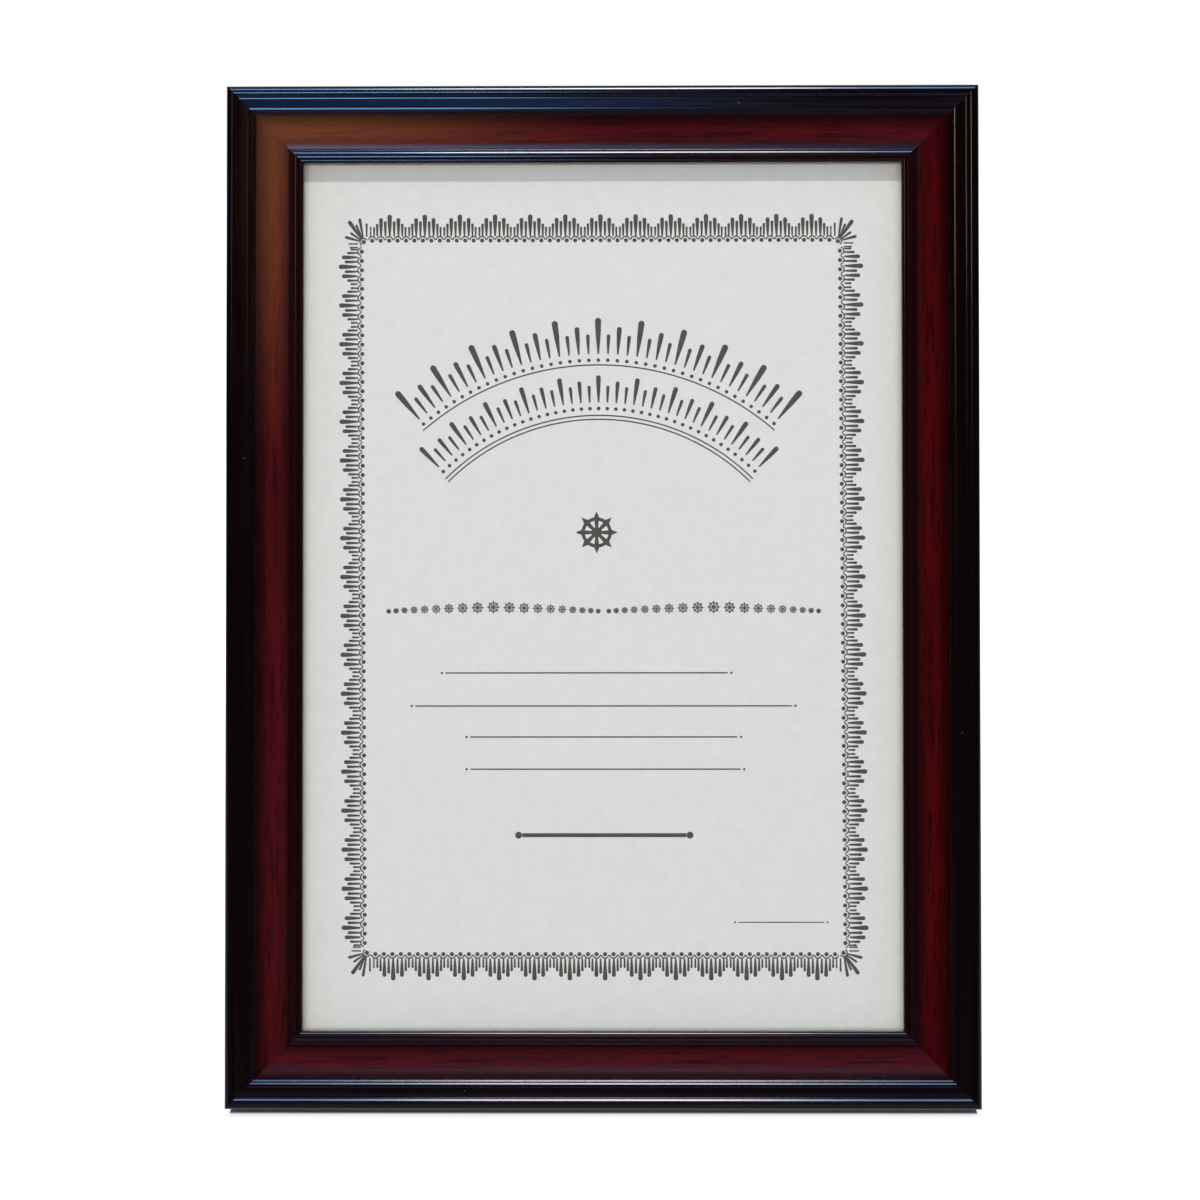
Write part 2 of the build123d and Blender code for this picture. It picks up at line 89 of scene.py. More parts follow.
class Side(Enum):
    """The four sides of the frame, seen from the front, with the turn of their own axes in degrees."""

    BOTTOM = 0
    RIGHT = 90
    TOP = 180
    LEFT = -90

    @property
    def label(self) -> str:
        """The side's name as the CAD nodes write it."""
        return self.name.lower()


def linear(red: float, green: float, blue: float) -> Colour:
    """Turns a colour of 0 to 255 steps, as a screen shows it, into linear light.

    Args:
        red, green, blue: The colour's steps.

    Returns:
        The linear colour.
    """
    steps = (red / 255, green / 255, blue / 255)
    return tuple(s / 12.92 if s < 0.04045 else ((s + 0.055) / 1.055) ** 2.4 for s in steps)


# Hand tools

class Hand:
    """Operators on the piece on the bench, with what they act on picked in code."""

    @staticmethod
    def clear() -> None:
        """Leaves edit mode and deselects everything."""
        if bpy.context.mode != "OBJECT":
            bpy.ops.object.mode_set(mode="OBJECT")
        bpy.ops.object.select_all(action="DESELECT")

    @staticmethod
    def take(piece: bpy.types.Object) -> None:
        """Makes one piece the only selected and active one.

        Args:
            piece: The piece to take up.
        """
        Hand.clear()
        piece.select_set(True)
        bpy.context.view_layer.objects.active = piece

    @staticmethod
    def edit(piece: bpy.types.Object) -> None:
        """Opens a piece in edit mode with all of it selected.

        Args:
            piece: The piece to open.
        """
        Hand.take(piece)
        bpy.ops.object.mode_set(mode="EDIT")
        bpy.ops.mesh.select_all(action="SELECT")

    @staticmethod
    def pick_faces(test: Callable[[Any], bool]) -> None:
        """Selects the faces of the open mesh that pass a test.

        Args:
            test: Takes a face and says whether it is wanted.
        """
        bpy.ops.mesh.select_mode(type="FACE")
        bpy.ops.mesh.select_all(action="DESELECT")
        mesh = bpy.context.object.data
        parts = bmesh.from_edit_mesh(mesh)
        for face in parts.faces:
            if test(face):
                face.select_set(True)
        parts.select_flush_mode()
        bmesh.update_edit_mesh(mesh)

    @staticmethod
    def modify(piece: bpy.types.Object, kind: str, **settings: Any) -> None:
        """Adds a modifier to a piece and applies it.

        Args:
            piece: The piece to change.
            kind: The modifier's type.
            settings: The modifier's own settings.
        """
        Hand.take(piece)
        bpy.ops.object.modifier_add(type=kind)
        modifier = piece.modifiers[-1]
        for name, value in settings.items():
            setattr(modifier, name, value)
        bpy.ops.object.modifier_apply(modifier=modifier.name)

    @staticmethod
    def lay(piece: bpy.types.Object, place: Matrix) -> None:
        """Moves a piece to its place and puts that place into its mesh.

        Args:
            piece: The piece to move.
            place: Where it goes.
        """
        Hand.take(piece)
        piece.matrix_world = place
        bpy.ops.object.transform_apply(location=True, rotation=True, scale=True)

    @staticmethod
    def smooth(piece: bpy.types.Object, angle: float = SMOOTH_ANGLE) -> None:
        """Shades a piece smooth, but for edges sharper than an angle in degrees."""
        Hand.take(piece)
        bpy.ops.object.shade_smooth_by_angle(angle=radians(angle))

    @staticmethod
    def close(piece: bpy.types.Object) -> None:
        """Merges a piece's doubles and points its faces outwards.

        Args:
            piece: The piece to close.
        """
        Hand.edit(piece)
        bpy.ops.mesh.remove_doubles(threshold=MERGE)
        bpy.ops.mesh.normals_make_consistent(inside=False)
        Hand.clear()

    @staticmethod
    def join(pieces: Sequence[bpy.types.Object], name: str) -> bpy.types.Object:
        """Joins pieces into one object.

        Args:
            pieces: What is joined; the first one stays.
            name: The joined piece's name.

        Returns:
            The joined piece.
        """
        Hand.take(pieces[0])
        for piece in pieces:
            piece.select_set(True)
        bpy.ops.object.join()
        pieces[0].name = name
        pieces[0].data.name = name
        return pieces[0]

    @staticmethod
    def discard(piece: bpy.types.Object) -> None:
        """Deletes a piece that only helped to make another."""
        Hand.take(piece)
        bpy.ops.object.delete()


def circle_through(first: Vector, middle: Vector, last: Vector) -> tuple[Vector, float]:
    """Finds the circle through three points.

    Args:
        first, middle, last: Points in the plane, in the order in which the arc meets them.

    Returns:
        The centre, and the arc's angle, positive when it runs anticlockwise.
    """
    a, b = middle - first, last - first
    turn = a.x * b.y - a.y * b.x
    across = Vector((b.y * a.length_squared - a.y * b.length_squared,
                     a.x * b.length_squared - b.x * a.length_squared)) / (2 * turn)
    centre = first + across
    start, end = first - centre, last - centre
    sweep = atan2(start.x * end.y - start.y * end.x, start.dot(end))
    if turn > 0 and sweep < 0:
        sweep += tau
    if turn < 0 and sweep > 0:
        sweep -= tau
    return centre, sweep


class Pen:
    """Draws outlines in a plane by extruding and spinning one vertex, and fills them."""

    def __init__(self, name: str, plane: Matrix = Matrix()) -> None:
        """Starts an empty piece.

        Args:
            name: The piece's name.
            plane: Turns the plane's two axes into the piece's own.
        """
        Hand.clear()
        bpy.ops.mesh.primitive_plane_add(size=1.0)
        self.piece = bpy.context.object
        self.piece.name = name
        bpy.ops.object.mode_set(mode="EDIT")
        bpy.ops.mesh.select_mode(type="VERT")
        bpy.ops.mesh.select_all(action="SELECT")
        bpy.ops.mesh.delete(type="VERT")
        self.plane = plane
        self.first = Vector((0, 0))
        self.at = Vector((0, 0))

    def place(self, u: float, v: float) -> Vector:
        """A point of the plane in the piece's own axes."""
        return self.plane @ Vector((u, v, 0))

    def spin(self, centre: Sequence[float], angle: float, steps: int) -> None:
        """Sweeps what is selected round a point of the plane, anticlockwise by an angle in radians."""
        axis = self.plane.to_3x3() @ Vector((0, 0, 1))
        bpy.ops.mesh.spin(steps=steps, angle=-angle, center=self.place(*centre), axis=axis)

    def gather(self) -> None:
        """Selects all that hangs together with the selection, and merges its doubles."""
        bpy.ops.mesh.select_linked()
        bpy.ops.mesh.remove_doubles(threshold=MERGE)

    def start(self, u: float, v: float) -> "Pen":
        """Sets the pen down: a small primitive is merged into one vertex.

        Args:
            u, v: Where the outline starts.

        Returns:
            The pen.
        """
        bpy.ops.mesh.select_all(action="DESELECT")
        bpy.ops.mesh.primitive_plane_add(size=1.0, location=self.place(u, v))
        bpy.ops.mesh.merge(type="CENTER")
        self.first = Vector((u, v))
        self.at = Vector((u, v))
        return self

    def line(self, *points: Point) -> "Pen":
        """Draws straight runs.

        Args:
            points: The points that the runs go to.

        Returns:
            The pen.
        """
        for u, v in points:
            step = self.place(u, v) - self.place(*self.at)
            bpy.ops.mesh.extrude_vertices_move(TRANSFORM_OT_translate={"value": step})
            self.at = Vector((u, v))
        return self

    def arc(self, middle: Point, end: Point, steps: int) -> "Pen":
        """Draws an arc.

        Args:
            middle: A point that the arc passes through.
            end: Where it ends.
            steps: Edges along the arc.

        Returns:
            The pen.
        """
        centre, sweep = circle_through(self.at, Vector(middle), Vector(end))
        self.spin(centre, sweep, steps)
        self.at = Vector(end)
        return self

    def close(self, fill: bool = True) -> "Pen":
        """Joins the end of the outline to its start.

        Args:
            fill: Whether the outline gets a face.

        Returns:
            The pen.
        """
        if (self.at - self.first).length > MERGE:
            self.line(tuple(self.first))
        self.gather()
        if fill:
            bpy.ops.mesh.edge_face_add()
        return self

    def band(self, centre: Point, inner: float, outer: float, start: float, turn: float, steps: int) -> "Pen":
        """Sweeps a flat band round a centre.

        Args:
            centre: The centre of the sweep.
            inner, outer: The band's two radii.
            start: Angle of the band's first end, in degrees from the first axis.
            turn: Angle that the band covers, in degrees.
            steps: Faces along the band.

        Returns:
            The pen.
        """
        ray = Vector((cos(radians(start)), sin(radians(start))))
        middle = Vector(centre)
        self.start(*(middle + inner * ray)).line(tuple(middle + outer * ray))
        bpy.ops.mesh.select_linked()
        self.spin(centre, radians(turn), steps)
        self.gather()
        return self

    def disc(self, centre: Point, radius: float, count: int) -> "Pen":
        """Draws a filled disc.

        Args:
            centre: Its centre.
            radius: Its radius.
            count: Edges round it.

        Returns:
            The pen.
        """
        bpy.ops.mesh.select_all(action="DESELECT")
        bpy.ops.mesh.primitive_circle_add(
            vertices=count, radius=radius, fill_type="NGON", location=self.place(*centre)
        )
        return self

    def rise(self, value: Sequence[float]) -> bpy.types.Object:
        """Extrudes all that was drawn and lifts the pen.

        Args:
            value: The extrusion, in the piece's own axes.

        Returns:
            The closed piece.
        """
        bpy.ops.mesh.select_all(action="SELECT")
        bpy.ops.mesh.extrude_region_move(TRANSFORM_OT_translate={"value": value})
        bpy.ops.mesh.select_all(action="SELECT")
        bpy.ops.mesh.normals_make_consistent(inside=False)
        Hand.clear()
        return self.piece


@dataclass(frozen=True)
class Stand:
    """How the frame's own axes stand in the room. Sizes are in millimetres."""

    lean: float
    origin: Vector
    width: float
    height: float

    @classmethod
    def measured(cls) -> "Stand":
        """Reads the lean from a turn button's joint and the sizes from the CAD rails.

        Returns:
            The stand.
        """
        axis = next(Vector(joint["axis"]) for joint in frame["joints"] if joint["name"].startswith("button_"))
        lean = abs(atan2(axis.z, abs(axis.y)))
        turn = cls(lean, Vector(), 0, 0).axes.to_3x3().inverted()
        rails = [frame["nodes"][f"{side.label}_rail"] for side in Side]
        spots = [turn @ vert.co for rail in rails for vert in rail.data.vertices]
        lowest = Vector([min(spot[i] for spot in spots) for i in range(3)])
        highest = Vector([max(spot[i] for spot in spots) for i in range(3)])
        middle = Vector(((lowest.x + highest.x) / 2, lowest.y, lowest.z))
        size = (highest - lowest) / MILLIMETRE
        return cls(lean, turn.inverted() @ middle, round(size.x, 2), round(size.y, 2))

    @property
    def axes(self) -> Matrix:
        """The frame's own axes, in metres, in the room.

        Returns:
            What turns a point of those axes into the room's.
        """
        tilt = Matrix((
            (1, 0, 0, 0),
            (0, sin(self.lean), -cos(self.lean), 0),
            (0, cos(self.lean), sin(self.lean), 0),
            (0, 0, 0, 1),
        ))
        return Matrix.Translation(self.origin) @ tilt

    @property
    def bench(self) -> Matrix:
        """Turns millimetres in the frame's own axes into metres in the room's."""
        return self.axes @ Matrix.Scale(MILLIMETRE, 4)

    def length(self, side: Side) -> float:
        """Outer length of a side's rail."""
        return self.width if side in (Side.BOTTOM, Side.TOP) else self.height

    def side(self, side: Side) -> Matrix:
        """Places a side's own axes, along, inwards and forward, in the frame's.

        Args:
            side: Which side.

        Returns:
            What turns millimetres in the side's axes into the frame's.
        """
        corner = {
            Side.BOTTOM: (0, 0, 0),
            Side.RIGHT: (self.width / 2, self.height / 2, 0),
            Side.TOP: (0, self.height, 0),
            Side.LEFT: (-self.width / 2, self.height / 2, 0),
        }[side]
        return Matrix.Translation(corner) @ Matrix.Rotation(radians(side.value), 4, "Z")

    def room(self, x: float, y: float, z: float) -> Vector:
        """A point of the frame, in millimetres from the middle of its height, in the room's metres."""
        return self.bench @ Vector((x, self.height / 2 + y, z))


# Node work

class Graph:
    """Writes a node tree in few words."""

    def __init__(self, tree: bpy.types.NodeTree) -> None:
        """Takes the tree to write in."""
        self.tree = tree

    def feed(self, node: bpy.types.Node, inputs: dict[Any, Any]) -> None:
        """Sets a node's inputs to values, or links them to sockets.

        Args:
            node: The node.
            inputs: Values, or sockets to link from, by input.
        """
        for name, value in inputs.items():
            socket = node.inputs[name]
            if isinstance(value, bpy.types.NodeSocket):
                self.tree.links.new(value, socket)
            elif isinstance(value, tuple) and len(value) == 3 and socket.type == "RGBA":
                socket.default_value = (*value, 1.0)
            else:
                socket.default_value = value

    def add(self, kind: str, inputs: dict[Any, Any] | None = None, **settings: Any) -> bpy.types.Node:
        """Adds a node.

        Args:
            kind: The node's type, without its ShaderNode prefix.
            inputs: Values, or sockets to link from, for the node's inputs.
            settings: The node's own settings.

        Returns:
            The node.
        """
        node = self.tree.nodes.new(kind if kind.startswith("NodeGroup") else f"ShaderNode{kind}")
        for name, value in settings.items():
            setattr(node, name, value)
        self.feed(node, inputs or {})
        return node

    def math(self, operation: str, first: Any, second: Any = 0.0) -> bpy.types.NodeSocket:
        """Adds a Math node and returns its result."""
        return self.add("Math", {0: first, 1: second}, operation=operation).outputs[0]

    def times(self, first: Any, second: Any) -> bpy.types.NodeSocket:
        """Multiplies two values and returns the result."""
        return self.math("MULTIPLY", first, second)

    def vector(self, operation: str, first: Any, second: Triple = (0.0, 0.0, 0.0)) -> Any:
        """Adds a Vector Math node and returns its results, the vector and the value."""
        return self.add("VectorMath", {0: first, 1: second}, operation=operation).outputs

    def span(self, value: Any, low: float, high: float, to_low: float = 0.0, to_high: float = 1.0) -> Any:
        """Maps a range of values to another, smoothly, and returns the result."""
        inputs = {"Value": value, "From Min": low, "From Max": high, "To Min": to_low, "To Max": to_high}
        return self.add("MapRange", inputs, interpolation_type="SMOOTHSTEP").outputs[0]

    def mix(self, factor: Any, first: Any, second: Any, blend: str = "MIX") -> bpy.types.NodeSocket:
        """Mixes two colours and returns the result."""
        inputs = {0: factor, 6: first, 7: second}
        return self.add("Mix", inputs, data_type="RGBA", blend_type=blend, clamp_factor=True).outputs[2]

    def ramp(self, value: Any, stops: Sequence[Stop]) -> bpy.types.NodeSocket:
        """Adds a colour ramp and returns its colour.

        Args:
            value: What the ramp follows.
            stops: Values, each with its linear colour.

        Returns:
            The colour socket.
        """
        first, last = stops[0][0], stops[-1][0]
        share = self.add("MapRange", {"Value": value, "From Min": first, "From Max": last}).outputs[0]
        node = self.add("ValToRGB", {"Fac": share})
        points = node.color_ramp.elements
        while len(points) < len(stops):
            points.new(0.5)
        for point, (place, colour) in zip(points, stops):
            point.position = (place - first) / (last - first)
            point.color = (*colour, 1.0)
        return node.outputs["Color"]

    def noise(self, vector: Any, detail: float = 2.0, roughness: float = 0.5) -> bpy.types.NodeSocket:
        """Adds noise of unit scale and returns its value."""
        inputs = {"Vector": vector, "Scale": 1.0, "Detail": detail, "Roughness": roughness}
        return self.add("TexNoise", inputs).outputs[0]

    def bump(self, height: Any, strength: float, distance: float) -> bpy.types.NodeSocket:
        """Adds a Bump node and returns its normal."""
        return self.add("Bump", {"Height": height, "Strength": strength, "Distance": distance}).outputs[0]

    def group(self, tree: bpy.types.NodeTree, inputs: dict[str, Any]) -> Any:
        """Places a node group and returns its outputs."""
        return self.add("Group", inputs, node_tree=tree).outputs

    def show(self, node: bpy.types.Node) -> None:
        """Makes a shader node the material's surface."""
        self.feed(self.tree.nodes["Material Output"], {"Surface": node.outputs[0]})


def new_material(name: str) -> tuple[bpy.types.Material, Graph, bpy.types.Node]:
    """Starts a material.

    Args:
        name: The material's name.

    Returns:
        The material, its graph and its Principled BSDF.
    """
    material = bpy.data.materials.new(name)
    material.use_nodes = True
    return material, Graph(material.node_tree), material.node_tree.nodes["Principled BSDF"]


class Effects:
    """Node groups that more than one finish uses, built once."""

    def __init__(self) -> None:
        """Builds the groups."""
        self.grain = self.make_grain()
        self.mottle = self.make_mottle()
        self.specks = self.make_specks()

    @staticmethod
    def begin(name: str, inputs: dict[str, str], outputs: Sequence[str]) -> tuple[Graph, Any, Any]:
        """Starts a group with named sockets.

        Args:
            name: The group's name.
            inputs: Socket names with their types.
            outputs: Names of the values that it puts out.

        Returns:
            The graph, its given sockets and its output node.
        """
        tree = bpy.data.node_groups.new(name, "ShaderNodeTree")
        for way, sockets in (("INPUT", inputs), ("OUTPUT", dict.fromkeys(outputs, "Float"))):
            for label, kind in sockets.items():
                tree.interface.new_socket(name=label, in_out=way, socket_type=f"NodeSocket{kind}")
        graph = Graph(tree)
        return graph, graph.add("NodeGroupInput").outputs, graph.add("NodeGroupOutput")

    def make_grain(self) -> bpy.types.NodeTree:
        """Wood grain along the first axis: long dark streaks, short pores and broad figure.

        Returns:
            The group.
        """
        scales = ("Streak", "Pore", "Figure")
        inputs = {"Along": "Vector", **dict.fromkeys(scales, "Vector")}
        graph, given, put = self.begin("wood_grain", inputs, ("Streaks", "Pores", "Figure"))
        for scale, output, low, high in (
            ("Streak", "Streaks", 0.53, 0.64), ("Pore", "Pores", 0.57, 0.66), ("Figure", "Figure", 0.3, 0.7),
        ):
            vector = graph.vector("MULTIPLY", given["Along"], given[scale])[0]
            graph.feed(put, {output: graph.span(graph.noise(vector, 3.0, 0.6), low, high)})
        return graph.tree

    def make_mottle(self) -> bpy.types.NodeTree:
        """Soft blotches with finer ones in them, from 0 to 1.

        Returns:
            The group.
        """
        graph, given, put = self.begin("mottle", {"Vector": "Vector", "Scale": "Float"}, ("Blotches", "Fine"))
        for output, finer, low, high in (("Blotches", 1.0, 0.3, 0.7), ("Fine", 9.0, 0.25, 0.75)):
            scale = graph.times(given["Scale"], finer)
            noise = graph.add("TexNoise", {"Vector": given["Vector"], "Scale": scale, "Detail": 4.0})
            graph.feed(put, {output: graph.span(noise.outputs[0], low, high)})
        return graph.tree

    def make_specks(self) -> bpy.types.NodeTree:
        """Sparse small specks: dust, pinholes or fibres, as a mask.

        Returns:
            The group.
        """
        inputs = {"Vector": "Vector", "Scale": "Float", "Amount": "Float"}
        graph, given, put = self.begin("specks", inputs, ("Mask",))
        cells = graph.add("TexVoronoi", {name: given[name] for name in ("Vector", "Scale")}).outputs
        chance, share, _ = graph.add("SeparateColor", {"Color": cells["Color"]}).outputs
        rare = graph.math("LESS_THAN", chance, given["Amount"])
        near = graph.math("LESS_THAN", cells["Distance"], graph.times(share, 0.16))
        graph.feed(put, {"Mask": graph.times(rare, near)})
        return graph.tree


@dataclass(frozen=True)
class Ground:
    """What a finish is laid on: a material's graph, the shared effects and the place on the piece."""

    graph: Graph
    effects: Effects
    spot: bpy.types.NodeSocket

    def section(self) -> tuple[bpy.types.NodeSocket, bpy.types.NodeSocket]:
        """Gives the place on a rail's section, in millimetres.

        Returns:
            How far inwards from the outer edge, and how far forward from the back.
        """
        per_metre = 1 / MILLIMETRE
        scaled = self.graph.vector("MULTIPLY", self.spot, (per_metre, per_metre, per_metre))[0]
        _, inwards, forward = self.graph.add("SeparateXYZ", {0: scaled}).outputs
        return inwards, forward

    def grain(self) -> Any:
        """Places the wood grain along a rail.

        Returns:
            The grain's outputs.
        """
        return self.graph.group(self.effects.grain, {
            "Along": self.spot,
            "Streak": (48.0, 1300.0, 600.0),
            "Pore": (210.0, 2300.0, 1000.0),
            "Figure": (14.0, 240.0, 150.0),
        })

    def mottle(self, scale: float) -> tuple[bpy.types.NodeSocket, bpy.types.NodeSocket]:
        """Places blotches and returns them and the finer ones in them."""
        blotches, fine = self.graph.group(self.effects.mottle, {"Vector": self.spot, "Scale": scale})
        return blotches, fine

    def specks(self, scale: float = 800.0, amount: float = 0.008) -> bpy.types.NodeSocket:
        """Places specks, by themselves those of fine dust, and returns their mask."""
        inputs = {"Vector": self.spot, "Scale": scale, "Amount": amount}
        return self.graph.group(self.effects.specks, inputs)[0]


class Finish:
    """What every finish shares: the making of its material."""

    def coat(self, ground: Ground) -> dict[str, Any]:
        """Lays the finish, as each kind does in its own way.

        Args:
            ground: What it is laid on.

        Returns:
            Values or sockets for the shader's inputs.
        """
        raise NotImplementedError

    def make(self, effects: Effects, name: str, place: Matrix | None = None) -> bpy.types.Material:
        """Builds the material.

        Args:
            effects: The shared node groups.
            name: The material's name.
            place: For a rail, turns metres in its own axes, along, inwards and forward, into the room's.

        Returns:
            The material.
        """
        material, graph, shader = new_material(name)
        spot = graph.add("TexCoord").outputs["Object"]
        if place is not None:
            back = place.inverted()
            spot = graph.add("Mapping", {
                "Vector": spot,
                "Location": tuple(back.to_translation()),
                "Rotation": tuple(back.to_euler()),
            }).outputs[0]
        graph.feed(shader, self.coat(Ground(graph, effects, spot)))
        return material


@dataclass(frozen=True)
class LacquerFinish(Finish):
    """Smooth black lacquer of the beads, the ridge and the outer wall, browner inside, with a little dust."""

    black: Colour = linear(10, 3, 5)
    worn: Colour = linear(16, 6, 7)
    inner: Colour = linear(27, 7, 9)
    dust: Colour = linear(170, 166, 160)
    worn_share: float = 0.6
    dust_share: float = 0.55
    dust_matt: float = 0.3
    inner_start: float = 20.0
    roughness: Point = (0.13, 0.18)
    wall_reach: float = 0.3
    wall_top: float = 14.6
    wall_fade: float = 2.0
    wall_matt: float = 0.36

    def coat(self, ground: Ground) -> dict[str, Any]:
        """Lays the lacquer, duller on the outer wall.

        Args:
            ground: What it is laid on.

        Returns:
            Values or sockets for the shader's inputs.
        """
        graph = ground.graph
        inwards, forward = ground.section()
        figure = ground.grain()["Figure"]
        dust = ground.specks()
        colour = graph.mix(graph.times(figure, self.worn_share), self.black, self.worn)
        colour = graph.mix(graph.math("GREATER_THAN", inwards, self.inner_start), colour, self.inner)
        colour = graph.mix(graph.times(dust, self.dust_share), colour, self.dust)
        gloss = graph.span(figure, 0.0, 1.0, *self.roughness)
        wall = graph.math("LESS_THAN", inwards, self.wall_reach)
        low = graph.span(forward, self.wall_top, self.wall_top - self.wall_fade)
        matt = graph.times(graph.times(wall, low), self.wall_matt)
        rough = graph.math("ADD", graph.math("ADD", gloss, matt), graph.times(dust, self.dust_matt))
        return {"Base Color": colour, "Roughness": rough}


@dataclass(frozen=True)
class CoveFinish(Finish):
    """Burgundy stain on streaked wood, darker to black at both edges of the cove, partly the stain's own
    shading and partly painted shade of the cove's recesses, with a sheen at one.
    """

    # The stops darken to black towards both edges of the cove: partly the stain's own shading, partly painted
    # shade where the cove meets the ridge and the ledge.
    stops: tuple[Stop, ...] = (
        (9.6, linear(30, 4, 6)),
        (11.0, linear(46, 4, 7)),
        (13.0, linear(66, 6, 10)),
        (15.0, linear(80, 7, 13)),
        (17.0, linear(80, 7, 13)),
        (18.6, linear(66, 6, 10)),
        (20.0, linear(46, 5, 8)),
        (21.0, linear(34, 5, 7)),
    )
    deep: Colour = (0.66, 0.6, 0.6)
    streak: Colour = linear(30, 4, 6)
    pore: Colour = linear(14, 4, 5)
    dust: Colour = linear(170, 160, 150)
    streak_share: float = 0.75
    pore_share: float = 0.85
    dust_share: float = 0.35
    roughness: Point = (0.58, 0.66)
    specular: float = 0.12
    sheen_run: Point = (17.6, 20.4)
    sheen: float = 0.12
    sheen_roughness: float = 0.3
    relief: Point = (0.15, 0.00003)

    def coat(self, ground: Ground) -> dict[str, Any]:
        """Lays the stain and its sheen.

        Args:
            ground: What it is laid on.

        Returns:
            Values or sockets for the shader's inputs.
        """
        graph = ground.graph
        inwards, _ = ground.section()
        grain = ground.grain()
        # Ramp across the cove, with painted shade in part at both of its edges.
        colour = graph.ramp(inwards, self.stops)
        colour = graph.mix(grain["Figure"], graph.mix(1.0, colour, self.deep, "MULTIPLY"), colour)
        streaks = graph.times(grain["Streaks"], self.streak_share)
        colour = graph.mix(streaks, colour, self.streak)
        colour = graph.mix(graph.times(grain["Pores"], self.pore_share), colour, self.pore)
        colour = graph.mix(graph.times(ground.specks(), self.dust_share), colour, self.dust)
        smooth = graph.math("SUBTRACT", 1.0, graph.math("MAXIMUM", grain["Pores"], streaks))
        return {
            "Base Color": colour,
            "Specular IOR Level": self.specular,
            "Roughness": graph.span(grain["Figure"], 0.0, 1.0, *self.roughness),
            "Coat Weight": graph.span(inwards, *self.sheen_run, 0.0, self.sheen),
            "Coat Roughness": self.sheen_roughness,
            "Normal": graph.bump(smooth, *self.relief),
        }


@dataclass(frozen=True)
class BareWoodFinish(Finish):
    """Unstained pale wood on the back of a rail and in its rebate."""

    wood: Colour = linear(198, 164, 118)
    streak: Colour = linear(158, 118, 76)
    pore: Colour = linear(110, 78, 48)
    mark_share: float = 0.4
    roughness: Point = (0.6, 0.75)
    relief: Point = (0.3, 0.00008)

    def coat(self, ground: Ground) -> dict[str, Any]:
        """Lays the wood.

        Args:
            ground: What it is laid on.

        Returns:
            Values or sockets for the shader's inputs.
        """
        graph = ground.graph
        grain = ground.grain()
        colour = graph.mix(grain["Streaks"], self.wood, self.streak)
        colour = graph.mix(graph.times(grain["Figure"], self.mark_share), colour, self.streak)
        colour = graph.mix(graph.times(grain["Pores"], self.mark_share), colour, self.pore)
        return {
            "Base Color": colour,
            "Roughness": graph.span(grain["Figure"], 0.0, 1.0, *self.roughness),
            "Normal": graph.bump(grain["Streaks"], *self.relief),
        }


@dataclass(frozen=True)
class GlassFinish(Finish):
    """Clear float glass with the faintest smear."""

    tint: Colour = (0.985, 0.995, 0.985)
    index: float = 1.46
    smear: float = 0.02
    smear_scale: float = 30.0

    def coat(self, ground: Ground) -> dict[str, Any]:
        """Lays the glass.

        Args:
            ground: What it is laid on.

        Returns:
            Values or sockets for the shader's inputs.
        """
        blotches, _ = ground.mottle(self.smear_scale)
        return {
            "Base Color": self.tint,
            "Transmission Weight": 1.0,
            "IOR": self.index,
            "Roughness": ground.graph.span(blotches, 0.0, 1.0, 0.0, self.smear),
        }

    def make(self, effects: Effects, name: str, place: Matrix | None = None) -> bpy.types.Material:
        """Builds the material: lamp light passes straight through, and the eye sees real glass.

        Args:
            effects: The shared node groups.
            name: The material's name.
            place: Not used by a pane.

        Returns:
            The material.
        """
        material = super().make(effects, name, place)
        graph = Graph(material.node_tree)
        path = graph.add("LightPath").outputs
        passing = graph.math("MAXIMUM", path["Is Shadow Ray"], path["Is Diffuse Ray"])
        glass = graph.tree.nodes["Principled BSDF"]
        clear = graph.add("BsdfTransparent")
        graph.show(graph.add("MixShader", {0: passing, 1: glass.outputs[0], 2: clear.outputs[0]}))
        return material


@dataclass(frozen=True)
class PaperFinish(Finish):
    """Uncoated printing paper with fine fibres."""

    sheet: Colour = (0.81, 0.81, 0.80)
    shade: Colour = (0.765, 0.765, 0.75)
    fibre: Colour = linear(150, 146, 138)
    scale: float = 260.0
    shade_share: float = 0.7
    fibre_scale: float = 320.0
    fibre_amount: float = 0.02
    fibre_share: float = 0.12
    roughness: Point = (0.7, 0.85)
    relief: Point = (0.2, 0.00003)

    def coat(self, ground: Ground) -> dict[str, Any]:
        """Lays the paper.

        Args:
            ground: What it is laid on.

        Returns:
            Values or sockets for the shader's inputs.
        """
        graph = ground.graph
        blotches, fine = ground.mottle(self.scale)
        fibres = ground.specks(self.fibre_scale, self.fibre_amount)
        tone = graph.mix(graph.times(blotches, self.shade_share), self.sheet, self.shade)
        tone = graph.mix(graph.times(fibres, self.fibre_share), tone, self.fibre)
        return {
            "Base Color": tone,
            "Roughness": graph.span(fine, 0.0, 1.0, *self.roughness),
            "Normal": graph.bump(fine, *self.relief),
        }


@dataclass(frozen=True)
class InkFinish(Finish):
    """Warm dark grey printing ink, a little thin in places."""

    solid: Colour = linear(46, 40, 36)
    thin: Colour = linear(70, 63, 57)
    scale: float = 420.0
    roughness: Point = (0.5, 0.7)

    def coat(self, ground: Ground) -> dict[str, Any]:
        """Lays the ink.

        Args:
            ground: What it is laid on.

        Returns:
            Values or sockets for the shader's inputs.
        """
        blotches, fine = ground.mottle(self.scale)
        return {
            "Base Color": ground.graph.mix(fine, self.solid, self.thin),
            "Roughness": ground.graph.span(blotches, 0.0, 1.0, *self.roughness),
        }


